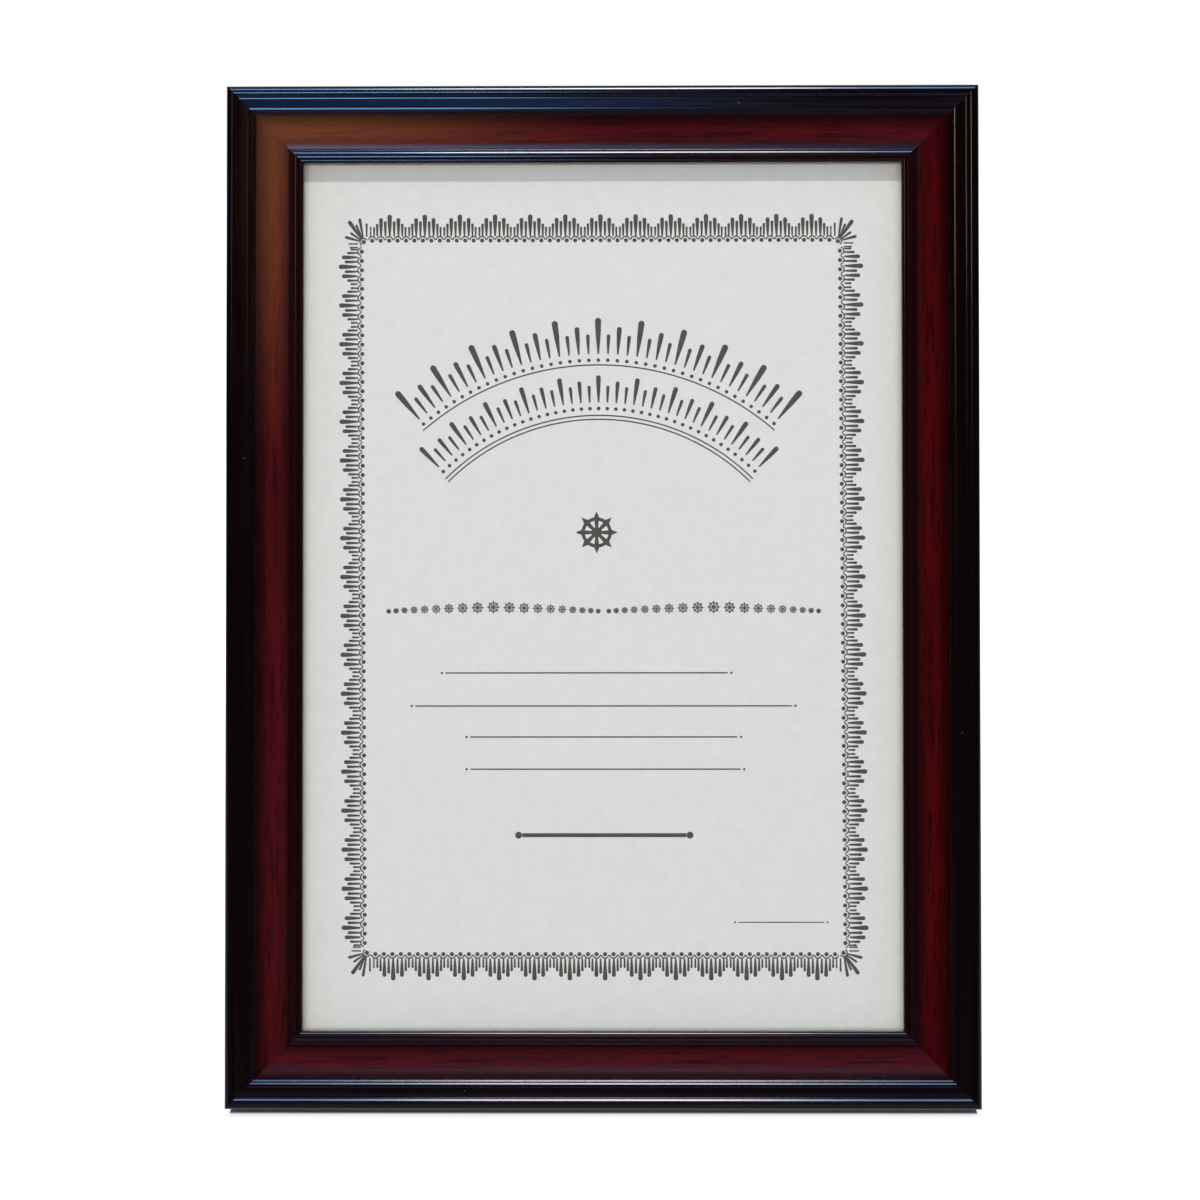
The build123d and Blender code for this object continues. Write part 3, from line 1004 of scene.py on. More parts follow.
@dataclass(frozen=True)
class BoardFinish(Finish):
    """Pressed board: hardboard or grey card, with soft clouding, short crossed fibres and flecks."""

    light: Colour
    dark: Colour
    fleck: Colour
    fibre: Colour
    scale: float = 60.0
    clouding: Point = (0.3, 0.8)
    strand_scale: Triple = (260.0, 900.0, 2600.0)
    strand_span: Point = (0.56, 0.72)
    strand_share: float = 0.5
    dark_share: float = 0.3
    fleck_scale: float = 420.0
    fleck_amount: float = 0.12
    fleck_share: float = 0.6
    roughness: Point = (0.47, 0.63)
    relief: Point = (0.35, 0.00008)

    def coat(self, ground: Ground) -> dict[str, Any]:
        """Lays the board's face.

        Args:
            ground: What it is laid on.

        Returns:
            Values or sockets for the shader's inputs.
        """
        graph = ground.graph
        blotches, fine = ground.mottle(self.scale)
        tone = graph.mix(graph.span(blotches, 0.0, 1.0, *self.clouding), self.dark, self.light)
        for tilt, colour in ((0.5, self.fibre), (-0.9, self.dark), (1.4, self.fibre), (-0.2, self.fleck)):
            turned = graph.add("Mapping", {"Vector": ground.spot, "Rotation": (0.0, tilt, 0.0)}).outputs[0]
            strand = graph.noise(graph.vector("MULTIPLY", turned, self.strand_scale)[0], 2.0, 0.6)
            tone = graph.mix(graph.span(strand, *self.strand_span, 0.0, self.strand_share), tone, colour)
        tone = graph.mix(graph.times(fine, self.dark_share), tone, self.dark)
        flecks = ground.specks(self.fleck_scale, self.fleck_amount)
        tone = graph.mix(graph.times(flecks, self.fleck_share), tone, self.fleck)
        return {
            "Base Color": tone,
            "Roughness": graph.span(fine, 0.0, 1.0, *self.roughness),
            "Normal": graph.bump(fine, *self.relief),
        }


@dataclass(frozen=True)
class MetalFinish(Finish):
    """Plated or bright metal with a mottled film and fine scuffs."""

    bright: Colour
    dull: Colour
    roughness: Point
    scale: float = 320.0
    scuff_scale: Triple = (260.0, 4200.0, 4200.0)
    scuff_span: Point = (0.55, 0.7)
    scuff_share: float = 0.25
    scuff_matt: float = 0.08
    relief: Point = (0.12, 0.00003)

    def coat(self, ground: Ground) -> dict[str, Any]:
        """Lays the metal.

        Args:
            ground: What it is laid on.

        Returns:
            Values or sockets for the shader's inputs.
        """
        graph = ground.graph
        blotches, fine = ground.mottle(self.scale)
        stretched = graph.vector("MULTIPLY", ground.spot, self.scuff_scale)[0]
        scuffs = graph.span(graph.noise(stretched), *self.scuff_span)
        tone = graph.mix(blotches, self.dull, self.bright)
        tone = graph.mix(graph.times(scuffs, self.scuff_share), tone, self.dull)
        rough = graph.span(fine, 0.0, 1.0, *self.roughness)
        return {
            "Base Color": tone,
            "Metallic": 1.0,
            "Roughness": graph.math("ADD", rough, graph.times(scuffs, self.scuff_matt)),
            "Normal": graph.bump(fine, *self.relief),
        }


def dress(
    piece: bpy.types.Object, materials: Sequence[bpy.types.Material], body: str, slot: Slot, *nodes: str
) -> None:
    """Finishes a piece: its materials, the body that it rides on and the nodes that it stands for.

    Args:
        piece: The piece, in its place.
        materials: Its finishes, in the order of its own material slots.
        body: The CAD body that carries it.
        slot: The record's material slot; not used.
        nodes: CAD nodes that the piece replaces.
    """
    for i, material in enumerate(materials):
        if i < len(piece.data.materials):
            piece.data.materials[i] = material
        else:
            piece.data.materials.append(material)
    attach(piece, body)
    if nodes:
        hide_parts(*nodes)
    LOG.info("%s: %d faces, on %s", piece.name, len(piece.data.polygons), body)


def repaint(node: str, material: bpy.types.Material) -> None:
    """Gives a CAD node its finish.

    Args:
        node: The CAD node.
        material: Its finish.
    """
    piece = frame["nodes"][node]
    piece.data.materials.clear()
    piece.data.materials.append(material)
    LOG.info("%s: CAD node in %s", node, material.name)


# Pieces of the frame

@dataclass
class Rails:
    """Four mitred lengths of moulding. Widths run inwards from the outer edge, heights from the back."""

    stand: Stand
    effects: Effects
    lacquer: LacquerFinish = LacquerFinish()
    coves: ClassVar[dict[Side, CoveFinish]] = {
        Side.BOTTOM: CoveFinish(specular=0.04, sheen_run=(15.0, 11.5), sheen=0.42),
        Side.RIGHT: CoveFinish(specular=0.04),
        Side.TOP: CoveFinish(sheen=0.7),
        Side.LEFT: CoveFinish(),
    }
    bare: BareWoodFinish = BareWoodFinish()
    width: float = 25.2
    back_width: float = 18.0
    rebate_depth: float = 8.0
    side_height: float = 14.9
    bead_crest: Point = (2.45, 17.2)
    bead_end: Point = (4.1, 16.6)
    quirk_end: Point = (4.4, 16.6)
    slope_end: Point = (7.12, 17.468)
    land_start: Point = (7.2, 17.49)
    land_middle: Point = (7.647, 17.5445)
    ridge_start: Point = (8.097, 17.5525)
    ridge_middle: Point = (8.675, 17.43)
    ridge_end: Point = (9.26, 17.0345)
    edge_start: Point = (9.4, 17.0)
    edge_crest: Point = (9.7, 16.92)
    cove_start: Point = (9.914, 16.709)
    cove_end: Point = (20.4, 12.1)
    cove_sag: float = 1.5
    ledge_crest: Point = (20.605, 12.595)
    ledge_end: Point = (21.1, 12.8)
    face_start: Point = (21.15, 12.75)
    face_middle: Point = (22.114, 13.314)
    face_end: Point = (23.2, 13.51)
    groove: Point = (23.55, 12.95)
    lip_start: Point = (24.0, 13.4)
    lip_crest: Point = (24.74, 13.315)
    sight_edge: Point = (25.2, 12.607)
    back_round: float = 0.4
    smooth_angle: float = 14.0
    cove_facing: float = 0.3
    end_facing: float = 0.5
    margin: float = 0.1
    mitre_waste: float = 2.0
    nail_insets: Point = (4.5, 11.0)
    nail_leg: float = 5.0
    nail_half: float = 0.3
    nail_depth: float = 7.0
    nail_clearance: float = 0.05
    slot_waste: float = 1.0

    def section(self) -> Pen:
        """Draws the moulding's section.

        Returns:
            The pen, with the closed outline filled.
        """
        pen = Pen("rail", Matrix(((0, 0, 1, 0), (1, 0, 0, 0), (0, 1, 0, 0), (0, 0, 0, 1))))
        chord = Vector(self.cove_end) - Vector(self.cove_start)
        dip = Vector((chord.y, -chord.x)).normalized() * self.cove_sag
        cove_middle = Vector(self.cove_start) + chord / 2 + dip
        back = self.back_round
        nip = (1 - cos(radians(45))) * back
        pen.start(back, 0).arc((nip, nip), (0, back), 4)
        pen.line((0, self.side_height)).arc(self.bead_crest, self.bead_end, 24)
        pen.line(self.quirk_end, self.slope_end, self.land_start)
        pen.arc(self.land_middle, self.ridge_start, 6).arc(self.ridge_middle, self.ridge_end, 10)
        pen.line(self.edge_start).arc(self.edge_crest, self.cove_start, 8)
        pen.arc(tuple(cove_middle), self.cove_end, 32).arc(self.ledge_crest, self.ledge_end, 12)
        pen.line(self.face_start).arc(self.face_middle, self.face_end, 10)
        pen.line(self.groove, self.lip_start).arc(self.lip_crest, self.sight_edge, 12)
        pen.line((self.width, self.rebate_depth), (self.back_width, self.rebate_depth))
        pen.line((self.back_width, back))
        pen.arc((self.back_width - nip, nip), (self.back_width - back, 0), 4)
        return pen.close()

    def nail_slots(self) -> bpy.types.Object:
        """Models the slots of all the V nails, for cutting.

        Returns:
            One object with every slot.
        """
        half = self.nail_half + self.nail_clearance
        leg = self.nail_leg + self.nail_clearance
        depth = self.nail_depth + self.nail_clearance + self.slot_waste
        outline = ((leg, -half), (leg, half), (half, half), (half, leg), (-half, leg))
        slots = []
        for turn, x, y in ((0, -1, 0), (90, 1, 0), (180, 1, 1), (270, -1, 1)):
            corner = Matrix.Translation((x * self.stand.width / 2, y * self.stand.height, 0))
            corner = corner @ Matrix.Rotation(radians(turn), 4, "Z")
            for inset in self.nail_insets:
                pen = Pen("slot", corner @ Matrix.Translation((inset, inset, -self.slot_waste)))
                pen.start(-half, -half).line(*outline)
                slots.append(pen.close().rise((0, 0, depth)))
        return Hand.join(slots, "slots")

    def rail(self, side: Side, slots: bpy.types.Object) -> bpy.types.Object:
        """Models one rail: the section extruded, mitred, slotted and smoothed.

        Args:
            side: Which rail.
            slots: The cutter for the V nail slots.

        Returns:
            The rail in its place.
        """
        length = self.stand.length(side)
        rail = self.section().rise((length + 2 * self.mitre_waste, 0, 0))
        Hand.edit(rail)
        bpy.ops.transform.translate(value=(-length / 2 - self.mitre_waste, 0, 0))
        for way in (-1, 1):
            bpy.ops.mesh.select_all(action="SELECT")
            bpy.ops.mesh.bisect(
                plane_co=(way * length / 2, 0, 0), plane_no=(way, 1, 0), use_fill=True, clear_outer=True
            )
        Hand.close(rail)
        self.part_finishes(rail)
        Hand.lay(rail, self.stand.side(side))
        Hand.modify(rail, "BOOLEAN", object=slots, operation="DIFFERENCE", solver="EXACT")
        Hand.smooth(rail, self.smooth_angle)
        Hand.lay(rail, self.stand.bench)
        rail.name = f"{side.label}_rail_moulding"
        rail.data.name = rail.name
        return rail

    def in_cove(self, face: bmesh.types.BMFace) -> bool:
        """Says whether a face of a rail lies in the cove."""
        inset = face.calc_center_median().y
        return self.cove_start[0] < inset < self.cove_end[0] and face.normal.z > self.cove_facing

    def is_bare(self, face: bmesh.types.BMFace) -> bool:
        """Says whether a face of a rail is on its back, in its rebate or on a mitre.

        Args:
            face: The face, in the rail's own axes.

        Returns:
            Whether it is bare wood.
        """
        _, inset, height = face.calc_center_median()
        in_rebate = inset > self.back_width - self.margin and height < self.rebate_depth + self.margin
        return height < self.margin or in_rebate or abs(face.normal.x) > self.end_facing

    def part_finishes(self, rail: bpy.types.Object) -> None:
        """Parts a rail's faces among its three material slots: lacquer, cove and bare wood.

        Args:
            rail: The rail in its own axes.
        """
        blank = bpy.data.materials.get("rail_blank") or bpy.data.materials.new("rail_blank")
        for _ in range(3):
            rail.data.materials.append(blank)
        Hand.edit(rail)
        for index, test in ((1, self.in_cove), (2, self.is_bare)):
            Hand.pick_faces(test)
            rail.active_material_index = index
            bpy.ops.object.material_slot_assign()
        Hand.clear()

    def build(self) -> None:
        """Models and dresses the four rails."""
        slots = self.nail_slots()
        for side in Side:
            rail = self.rail(side, slots)
            turn = self.stand.side(side)
            turn.translation *= MILLIMETRE
            place = self.stand.axes @ turn
            coats = {"black_lacquer": self.lacquer, "burgundy_cove": self.coves[side], "bare_wood": self.bare}
            label = side.label
            finishes = [coat.make(self.effects, f"{label}_{name}", place) for name, coat in coats.items()]
            dress(rail, finishes, "frame", Slot.MOULDING, f"{label}_rail")
        Hand.discard(slots)


@dataclass(frozen=True)
class Edging:
    """A side of the border: its distance from the sheet's middle, its row of dots and its groups of drops.

    Each drop of half a group has its offset from the group's middle and its length.
    """

    distance: float
    dot_pitch: float
    dots: int
    group_pitch: float
    groups: int
    drops: tuple[Point, ...]


@dataclass
class Certificate:
    """The printed sheet: paper with a slight cockle, and its border, rosettes and rules in ink.

    Parts of the print that overlap each have their own share of the ink's depth, so their tops lie apart.
    """

    stand: Stand
    effects: Effects
    width: float = 210.0
    height: float = 297.0
    front: float = 5.8
    thickness: float = 0.18
    cuts: int = 62
    cockle: float = 0.10
    cockle_scale: float = 55.0
    ink_depth: float = 0.06
    ink_sunk: float = 0.03
    skew: float = -0.0056
    dot_radius: float = 0.70
    scallop_inner: float = 0.98
    scallop_outer: float = 1.42
    arch_lift: float = 0.12
    arch_sweep: Point = (8.0, 164.0)
    point_half: float = 0.30
    point_top: float = 0.52
    point_foot: float = -0.10
    drop_lap: float = 0.02
    drop_ink: float = 0.9
    row: Edging = Edging(
        117.7, 2.798, 55, 11.62, 13, ((0, 7.25), (1.46, 5.05), (2.88, 6.1), (4.14, 4.25), (5.19, 3.15))
    )
    column: Edging = Edging(
        79.0, 3.083, 75, 12.83, 18, ((0, 6.25), (1.62, 4.3), (3.14, 5.25), (4.57, 3.5), (5.74, 2.4))
    )
    corner: Point = (78.35, 117.25)
    corner_dot: float = 0.735
    corner_ring: Point = (-60.0, 210.0)
    corner_rise: float = 1.7
    corner_reach: float = 1.9
    corner_ink: float = 0.95
    drop_heads: tuple[float, ...] = (1.54, 0.98, 1.32, 0.88, 0.74)
    corner_fan: tuple[Triple, ...] = (
        (9.6, 8.0, 1.0), (23.7, 6.3, 0.8), (35.4, 8.6, 1.32), (55.0, 5.4, 0.8), (75.0, 6.45, 1.0)
    )
    corner_above: tuple[Triple, ...] = ((-1.0, 4.5, 0.69), (-2.3, 3.4, 0.53))
    corner_beside: tuple[Triple, ...] = ((-0.6, 3.2, 0.53), (-1.8, 2.8, 0.53))
    rosettes: int = 19
    rosette_sizes: Point = (1.9, 4.55)
    rosette_spread: float = 1.19
    rosette_foot: float = -5.85
    rosette_middles: Point = (-36.1, 36.5)
    mark_size: float = 14.0
    mark_place: Point = (-1.9, 188.7)
    garland_centre: Point = (-1.0, -12.0)
    garland_drops: int = 41
    garland_arches: tuple[tuple[float, float, tuple[float, ...]], ...] = (
        (76.0, 44.0, (9.0, 5.6, 7.2, 5.6)), (92.0, 40.0, (12.0, 6.6, 9.2, 6.6))
    )
    garland_head: float = 0.25
    garland_head_share: float = 0.15
    garland_dot: float = 0.62
    garland_dot_gap: float = 2.0
    garland_line: float = 0.45
    garland_ink: float = 0.92
    garland_lines: tuple[Point, ...] = ((71.5, 45.0), (70.2, 45.0), (88.2, 41.0))
    rule_steps: int = 24
    rule_dot_gap: float = 1.2
    rule_dot_share: float = 0.9
    rule_ink: float = 0.9
    rules: tuple[tuple[float, float, float, float], ...] = (
        (-52, 41, 142.4, 0.45), (-62, 62, 131.5, 0.45), (-44, 44, 121.3, 0.45), (-44, 45, 110.7, 0.45),
        (-27, 27, 89.0, 1.3), (44, 72, 60.4, 0.35),
    )

    def ripple(self, piece: bpy.types.Object) -> None:
        """Lets a piece follow the sheet's cockle.

        Args:
            piece: The sheet or the ink, in millimetres.
        """
        texture = bpy.data.textures.get("sheet_cockle") or bpy.data.textures.new("sheet_cockle", "CLOUDS")
        texture.noise_scale = self.cockle_scale
        texture.noise_depth = 1
        Hand.modify(
            piece, "DISPLACE", texture=texture, texture_coords="LOCAL", direction="Z",
            strength=self.cockle, mid_level=1.0,
        )

    def sheet(self) -> bpy.types.Object:
        """Models the sheet.

        Returns:
            The sheet in its place.
        """
        Hand.clear()
        bpy.ops.mesh.primitive_plane_add(size=1.0, location=(0, self.stand.height / 2, self.front))
        sheet = bpy.context.object
        sheet.scale = (self.width, self.height, 1)
        bpy.ops.object.transform_apply(location=True, rotation=True, scale=True)
        Hand.edit(sheet)
        bpy.ops.mesh.subdivide(number_cuts=self.cuts)
        Hand.clear()
        self.ripple(sheet)
        Hand.modify(sheet, "SOLIDIFY", thickness=self.thickness, offset=-1.0)
        Hand.smooth(sheet)
        Hand.lay(sheet, self.stand.bench)
        sheet.name = "certificate_sheet"
        return sheet

    @staticmethod
    def drop(pen: Pen, place: Matrix, length: float, head: float, base: float = 0.5) -> None:
        """Draws one drop, narrow at its foot and round at its head.

        Args:
            pen: The pen in use.
            place: Where the drop's foot is; it points along the second axis.
            length: The drop's length.
            head: Width of its head.
            base: Width of its foot.
        """
        pen.plane = place
        neck = length - head / 2
        belly, waist = 0.42 * head, 0.6 * neck
        pen.start(-base / 2, 0).line((-belly, waist), (-head / 2, neck))
        pen.arc((0, length), (head / 2, neck), 6).line((belly, waist), (base / 2, 0)).close()

    @staticmethod
    def repeat(piece: bpy.types.Object, pitch: float, count: int) -> bpy.types.Object:
        """Repeats a piece along its first axis.

        Args:
            piece: The piece, at the first place of its row.
            pitch: The spacing.
            count: How many there are in all.

        Returns:
            The piece with its repeats.
        """
        Hand.modify(
            piece, "ARRAY", count=count, use_relative_offset=False,
            use_constant_offset=True, constant_offset_displace=(pitch, 0, 0),
        )
        return piece

    def drops(self, edging: Edging) -> bpy.types.Object:
        """Models a side's run of drop groups, pointing outwards from its row of scallops.

        Args:
            edging: The side's sizes.

        Returns:
            The run, centred on the origin and lying flat.
        """
        pen = Pen("drops")
        first = -edging.group_pitch * (edging.groups - 1) / 2
        feet = self.scallop_outer - self.drop_lap
        for (offset, length), head in zip(edging.drops, self.drop_heads):
            for way in (-1, 1) if offset else (1,):
                self.drop(pen, Matrix.Translation((first + way * offset, feet, 0)), length, head)
        group = pen.rise((0, 0, self.ink_depth * self.drop_ink))
        return self.repeat(group, edging.group_pitch, edging.groups)

    def scallops(self, edging: Edging) -> bpy.types.Object:
        """Models a side's row of dots, each under its own arch, the arches meeting in points.

        Args:
            edging: The side's sizes.

        Returns:
            The row, centred on the origin and lying flat, with the arches outwards.
        """
        pen = Pen("scallops")
        first = -edging.dot_pitch * (edging.dots - 1) / 2
        pen.disc((first, 0), self.dot_radius, 14)
        pen.band((first, self.arch_lift), self.scallop_inner, self.scallop_outer, *self.arch_sweep, 12)
        point = first + edging.dot_pitch / 2
        pen.start(point - self.point_half, self.point_top)
        pen.line((point, self.point_foot), (point + self.point_half, self.point_top)).close()
        return self.repeat(pen.rise((0, 0, self.ink_depth)), edging.dot_pitch, edging.dots)

    def corner_ornament(self) -> bpy.types.Object:
        """Models the ringed dot of a corner, with its fan of drops, for the top right corner.

        Returns:
            The ornament, centred on its dot.
        """
        pen = Pen("corner")
        pen.disc((0, 0), self.corner_dot, 14)
        pen.band((0, 0), self.scallop_inner, self.scallop_outer, *self.corner_ring, 16)
        for angle, tip, head in self.corner_fan:
            place = Matrix.Rotation(radians(-angle), 4, "Z") @ Matrix.Translation((0, self.scallop_outer, 0))
            self.drop(pen, place, tip - self.scallop_outer, head)
        for offset, length, head in self.corner_above:
            self.drop(pen, Matrix.Translation((offset, self.corner_rise, 0)), length, head)
        for offset, length, head in self.corner_beside:
            place = Matrix.Translation((self.corner_reach, offset, 0)) @ Matrix.Rotation(radians(-90), 4, "Z")
            self.drop(pen, place, length, head)
        return pen.rise((0, 0, self.ink_depth * self.corner_ink))

    def wheel(self, size: float) -> bpy.types.Object:
        """Models an eight-spoked wheel rosette.

        Args:
            size: Its diameter over the tips.

        Returns:
            The rosette, centred on the origin and lying flat.
        """
        pen = Pen("wheel")
        outer = size / 2
        hub, root, rim = 0.26 * outer, 0.15 * outer, 0.72 * outer
        line = max(0.16 * outer, 0.26)
        root_half, rim_half = 0.4 * line, 0.75 * line
        pen.disc((0, 0), hub, 10)
        pen.band((0, 0), rim - line, rim, 0, 360, 24)
        for spoke in range(8):
            pen.plane = Matrix.Rotation(radians(45 * spoke), 4, "Z")
            pen.start(-root_half, root).line((-rim_half, rim), (0, outer), (rim_half, rim))
            pen.line((root_half, root)).close()
        pen.plane = Matrix()
        return pen.rise((0, 0, self.ink_depth))

    def swell(self, centre: float) -> list[bpy.types.Object]:
        """Models a row of rosettes that grow towards its middle.

        Args:
            centre: The row's middle.

        Returns:
            The rosettes in their places on the sheet.
        """
        small, large = self.rosette_sizes
        half = self.rosettes // 2
        sizes = [small + (large - small) * (1 - abs(i - half) / half) for i in range(self.rosettes)]
        places = [0.0]
        for before, after in zip(sizes, sizes[1:]):
            places.append(places[-1] + self.rosette_spread * (before + after) / 2)
        wheels = []
        for size, place in zip(sizes, places):
            wheel = self.wheel(size)
            spot = (centre + place - places[half], self.rosette_foot + size / 2, 0)
            Hand.lay(wheel, Matrix.Translation(spot))
            wheels.append(wheel)
        return wheels

    def rule(self, left: float, right: float, height: float, weight: float) -> bpy.types.Object:
        """Models a ruled line with a dot at each end.

        Args:
            left, right: Ends of the line.
            height: Its height on the sheet.
            weight: Its thickness.

        Returns:
            The line in its place on the sheet.
        """
        pen = Pen("rule")
        count = self.rule_steps
        lower = [(left + (right - left) * i / count, height - weight / 2) for i in range(count + 1)]
        upper = [(u, height + weight / 2) for u, _ in reversed(lower)]
        pen.start(*lower[0]).line(*lower[1:], *upper).close(fill=False)
        bpy.ops.mesh.fill()
        for end in (left - self.rule_dot_gap, right + self.rule_dot_gap):
            pen.disc((end, height), weight * self.rule_dot_share, 12)
        return pen.rise((0, 0, self.ink_depth * self.rule_ink))

    def garland(self) -> bpy.types.Object:
        """Models an arched garland of the border's own drops and dots, in the head of the sheet.

        Returns:
            The garland in its place on the sheet.
        """
        pen = Pen("garland")
        centre = Matrix.Translation((*self.garland_centre, 0))
        for radius, reach, lengths in self.garland_arches:
            for i in range(self.garland_drops):
                angle = -reach + 2 * reach * i / (self.garland_drops - 1)
                turn = centre @ Matrix.Rotation(radians(-angle), 4, "Z")
                length = lengths[i % len(lengths)]
                head = self.garland_head_share * length + self.garland_head
                self.drop(pen, turn @ Matrix.Translation((0, radius, 0)), length, head)
                pen.plane = turn
                pen.disc((0, radius - self.garland_dot_gap), self.garland_dot, 12)
        pen.plane = centre
        for radius, reach in self.garland_lines:
            pen.band((0, 0), radius, radius + self.garland_line, 90 - reach, 2 * reach, 60)
        pen.plane = Matrix()
        return pen.rise((0, 0, self.ink_depth * self.garland_ink))

    def border(self) -> list[bpy.types.Object]:
        """Models the whole border.

        Returns:
            Its pieces in their places on the sheet.
        """
        pieces = []
        for turn, edging in ((0, self.row), (180, self.row), (90, self.column), (-90, self.column)):
            place = Matrix.Rotation(radians(turn), 4, "Z") @ Matrix.Translation((0, edging.distance, 0))
            for run in (self.scallops(edging), self.drops(edging)):
                Hand.lay(run, place)
                pieces.append(run)
        for across in (1, -1):
            for up in (1, -1):
                ornament = self.corner_ornament()
                place = Matrix.Translation((across * self.corner[0], up * self.corner[1], 0))
                Hand.lay(ornament, place @ Matrix.Diagonal((across, up, 1, 1)))
                Hand.close(ornament)
                pieces.append(ornament)
        return pieces

    def printing(self) -> bpy.types.Object:
        """Models all the ink on the sheet.

        Returns:
            The ink in its place.
        """
        middle = self.stand.height / 2
        pieces = [*self.border(), self.garland()]
        for centre in self.rosette_middles:
            pieces += self.swell(centre)
        mark = self.wheel(self.mark_size)
        Hand.lay(mark, Matrix.Translation((self.mark_place[0], self.mark_place[1] - middle, 0)))
        pieces.append(mark)
        for left, right, height, weight in self.rules:
            pieces.append(self.rule(left, right, height - middle, weight))
        ink = Hand.join(pieces, "certificate_print")
        height = self.front - self.ink_sunk
        ink.data.transform(Matrix(((1, self.skew, 0, 0), (0, 1, 0, middle), (0, 0, 1, height), (0, 0, 0, 1))))
        self.ripple(ink)
        Hand.lay(ink, self.stand.bench)
        return ink

    def build(self) -> None:
        """Models and dresses the sheet and its print."""
        paper = PaperFinish().make(self.effects, "certificate_paper")
        dress(self.sheet(), [paper], "frame", Slot.PAPER, "certificate")
        ink = InkFinish().make(self.effects, "printing_ink")
        dress(self.printing(), [ink], "frame", Slot.PAPER)


@dataclass
class Backing:
    """What lies behind the sheet, and the ironmongery of the back."""

    effects: Effects
    steel: MetalFinish = MetalFinish((0.74, 0.74, 0.72), (0.52, 0.53, 0.54), (0.24, 0.40))
    rivet: MetalFinish = MetalFinish((0.62, 0.60, 0.57), (0.40, 0.39, 0.38), (0.20, 0.36))
    hardboard: BoardFinish = BoardFinish(
        linear(156, 116, 78), linear(126, 90, 58), linear(88, 60, 38), linear(186, 148, 106)
    )
    card: BoardFinish = BoardFinish(
        linear(176, 170, 158), linear(150, 145, 134), linear(120, 112, 100), linear(196, 190, 180)
    )
    plate_edge: float = 0.16
    board_edge: float = 0.45
    weld: float = 1e-6
    flat_angle: float = 0.5
    sharp_angle: float = 45.0

    def eased(self, node: str, width: float) -> bpy.types.Object:
        """Models a piece from a merged copy of its solid, with its cut edges eased.

        Args:
            node: The CAD node.
            width: Width of the easing, in millimetres.

        Returns:
            The piece in its place.
        """
        piece = bpy.data.objects.new(f"{node}_eased", frame["nodes"][node].data.copy())
        bpy.context.scene.collection.objects.link(piece)
        Hand.edit(piece)
        bpy.ops.mesh.customdata_custom_splitnormals_clear()
        bpy.ops.mesh.remove_doubles(threshold=self.weld)
        bpy.ops.mesh.dissolve_limited(angle_limit=radians(self.flat_angle))
        Hand.clear()
        Hand.modify(
            piece, "BEVEL", width=width * MILLIMETRE, segments=2,
            limit_method="ANGLE", angle_limit=radians(self.sharp_angle),
        )
        Hand.smooth(piece)
        Hand.modify(piece, "WEIGHTED_NORMAL", keep_sharp=True)
        return piece

    def build(self) -> None:
        """Dresses the boards and the hardware."""
        steel = self.steel.make(self.effects, "zinc_plate")
        board = self.hardboard.make(self.effects, "hardboard")
        rivet = self.rivet.make(self.effects, "rivet_steel")
        repaint("filler_board", self.card.make(self.effects, "grey_card"))
        for node in ("hinge_board_rivets", "hinge_strut_rivets"):
            repaint(node, rivet)
        for node in ("corner_v_nails", "turn_button_screws", "hanger_nails", "hinge_pin"):
            repaint(node, steel)
        plates = dict.fromkeys(("top_hanger", "left_hanger", "hinge_board_leaf"), "frame")
        plates["hinge_strut_leaf"] = "strut"
        for body in frame["bodies"]:
            if body.startswith("button_"):
                plates[f"turn_{body}"] = body
        for node, body in plates.items():
            dress(self.eased(node, self.plate_edge), [steel], body, Slot.STEEL, node)
        for node, body in {"back_board": "frame", "easel_strut": "strut"}.items():
            dress(self.eased(node, self.board_edge), [board], body, Slot.BOARD, node)


# Studio

@dataclass(frozen=True)
class Lamp:
    """A lamp, placed by its direction from the frame's front: degrees up and to the right.

    A lamp with a cone is a spot. The aim is a point of the frame, in millimetres from its middle. A lamp for
    some rails only is a highlight on their lacquer, stands as its direction says from the rail, and lights
    nothing else.
    """

    name: str
    up: float
    right: float
    distance: float
    size: Point
    power: float
    colour: Colour
    glossy: bool = True
    only: tuple[Side, ...] = ()
    cone: float = 0.0
    aim: Point | None = None


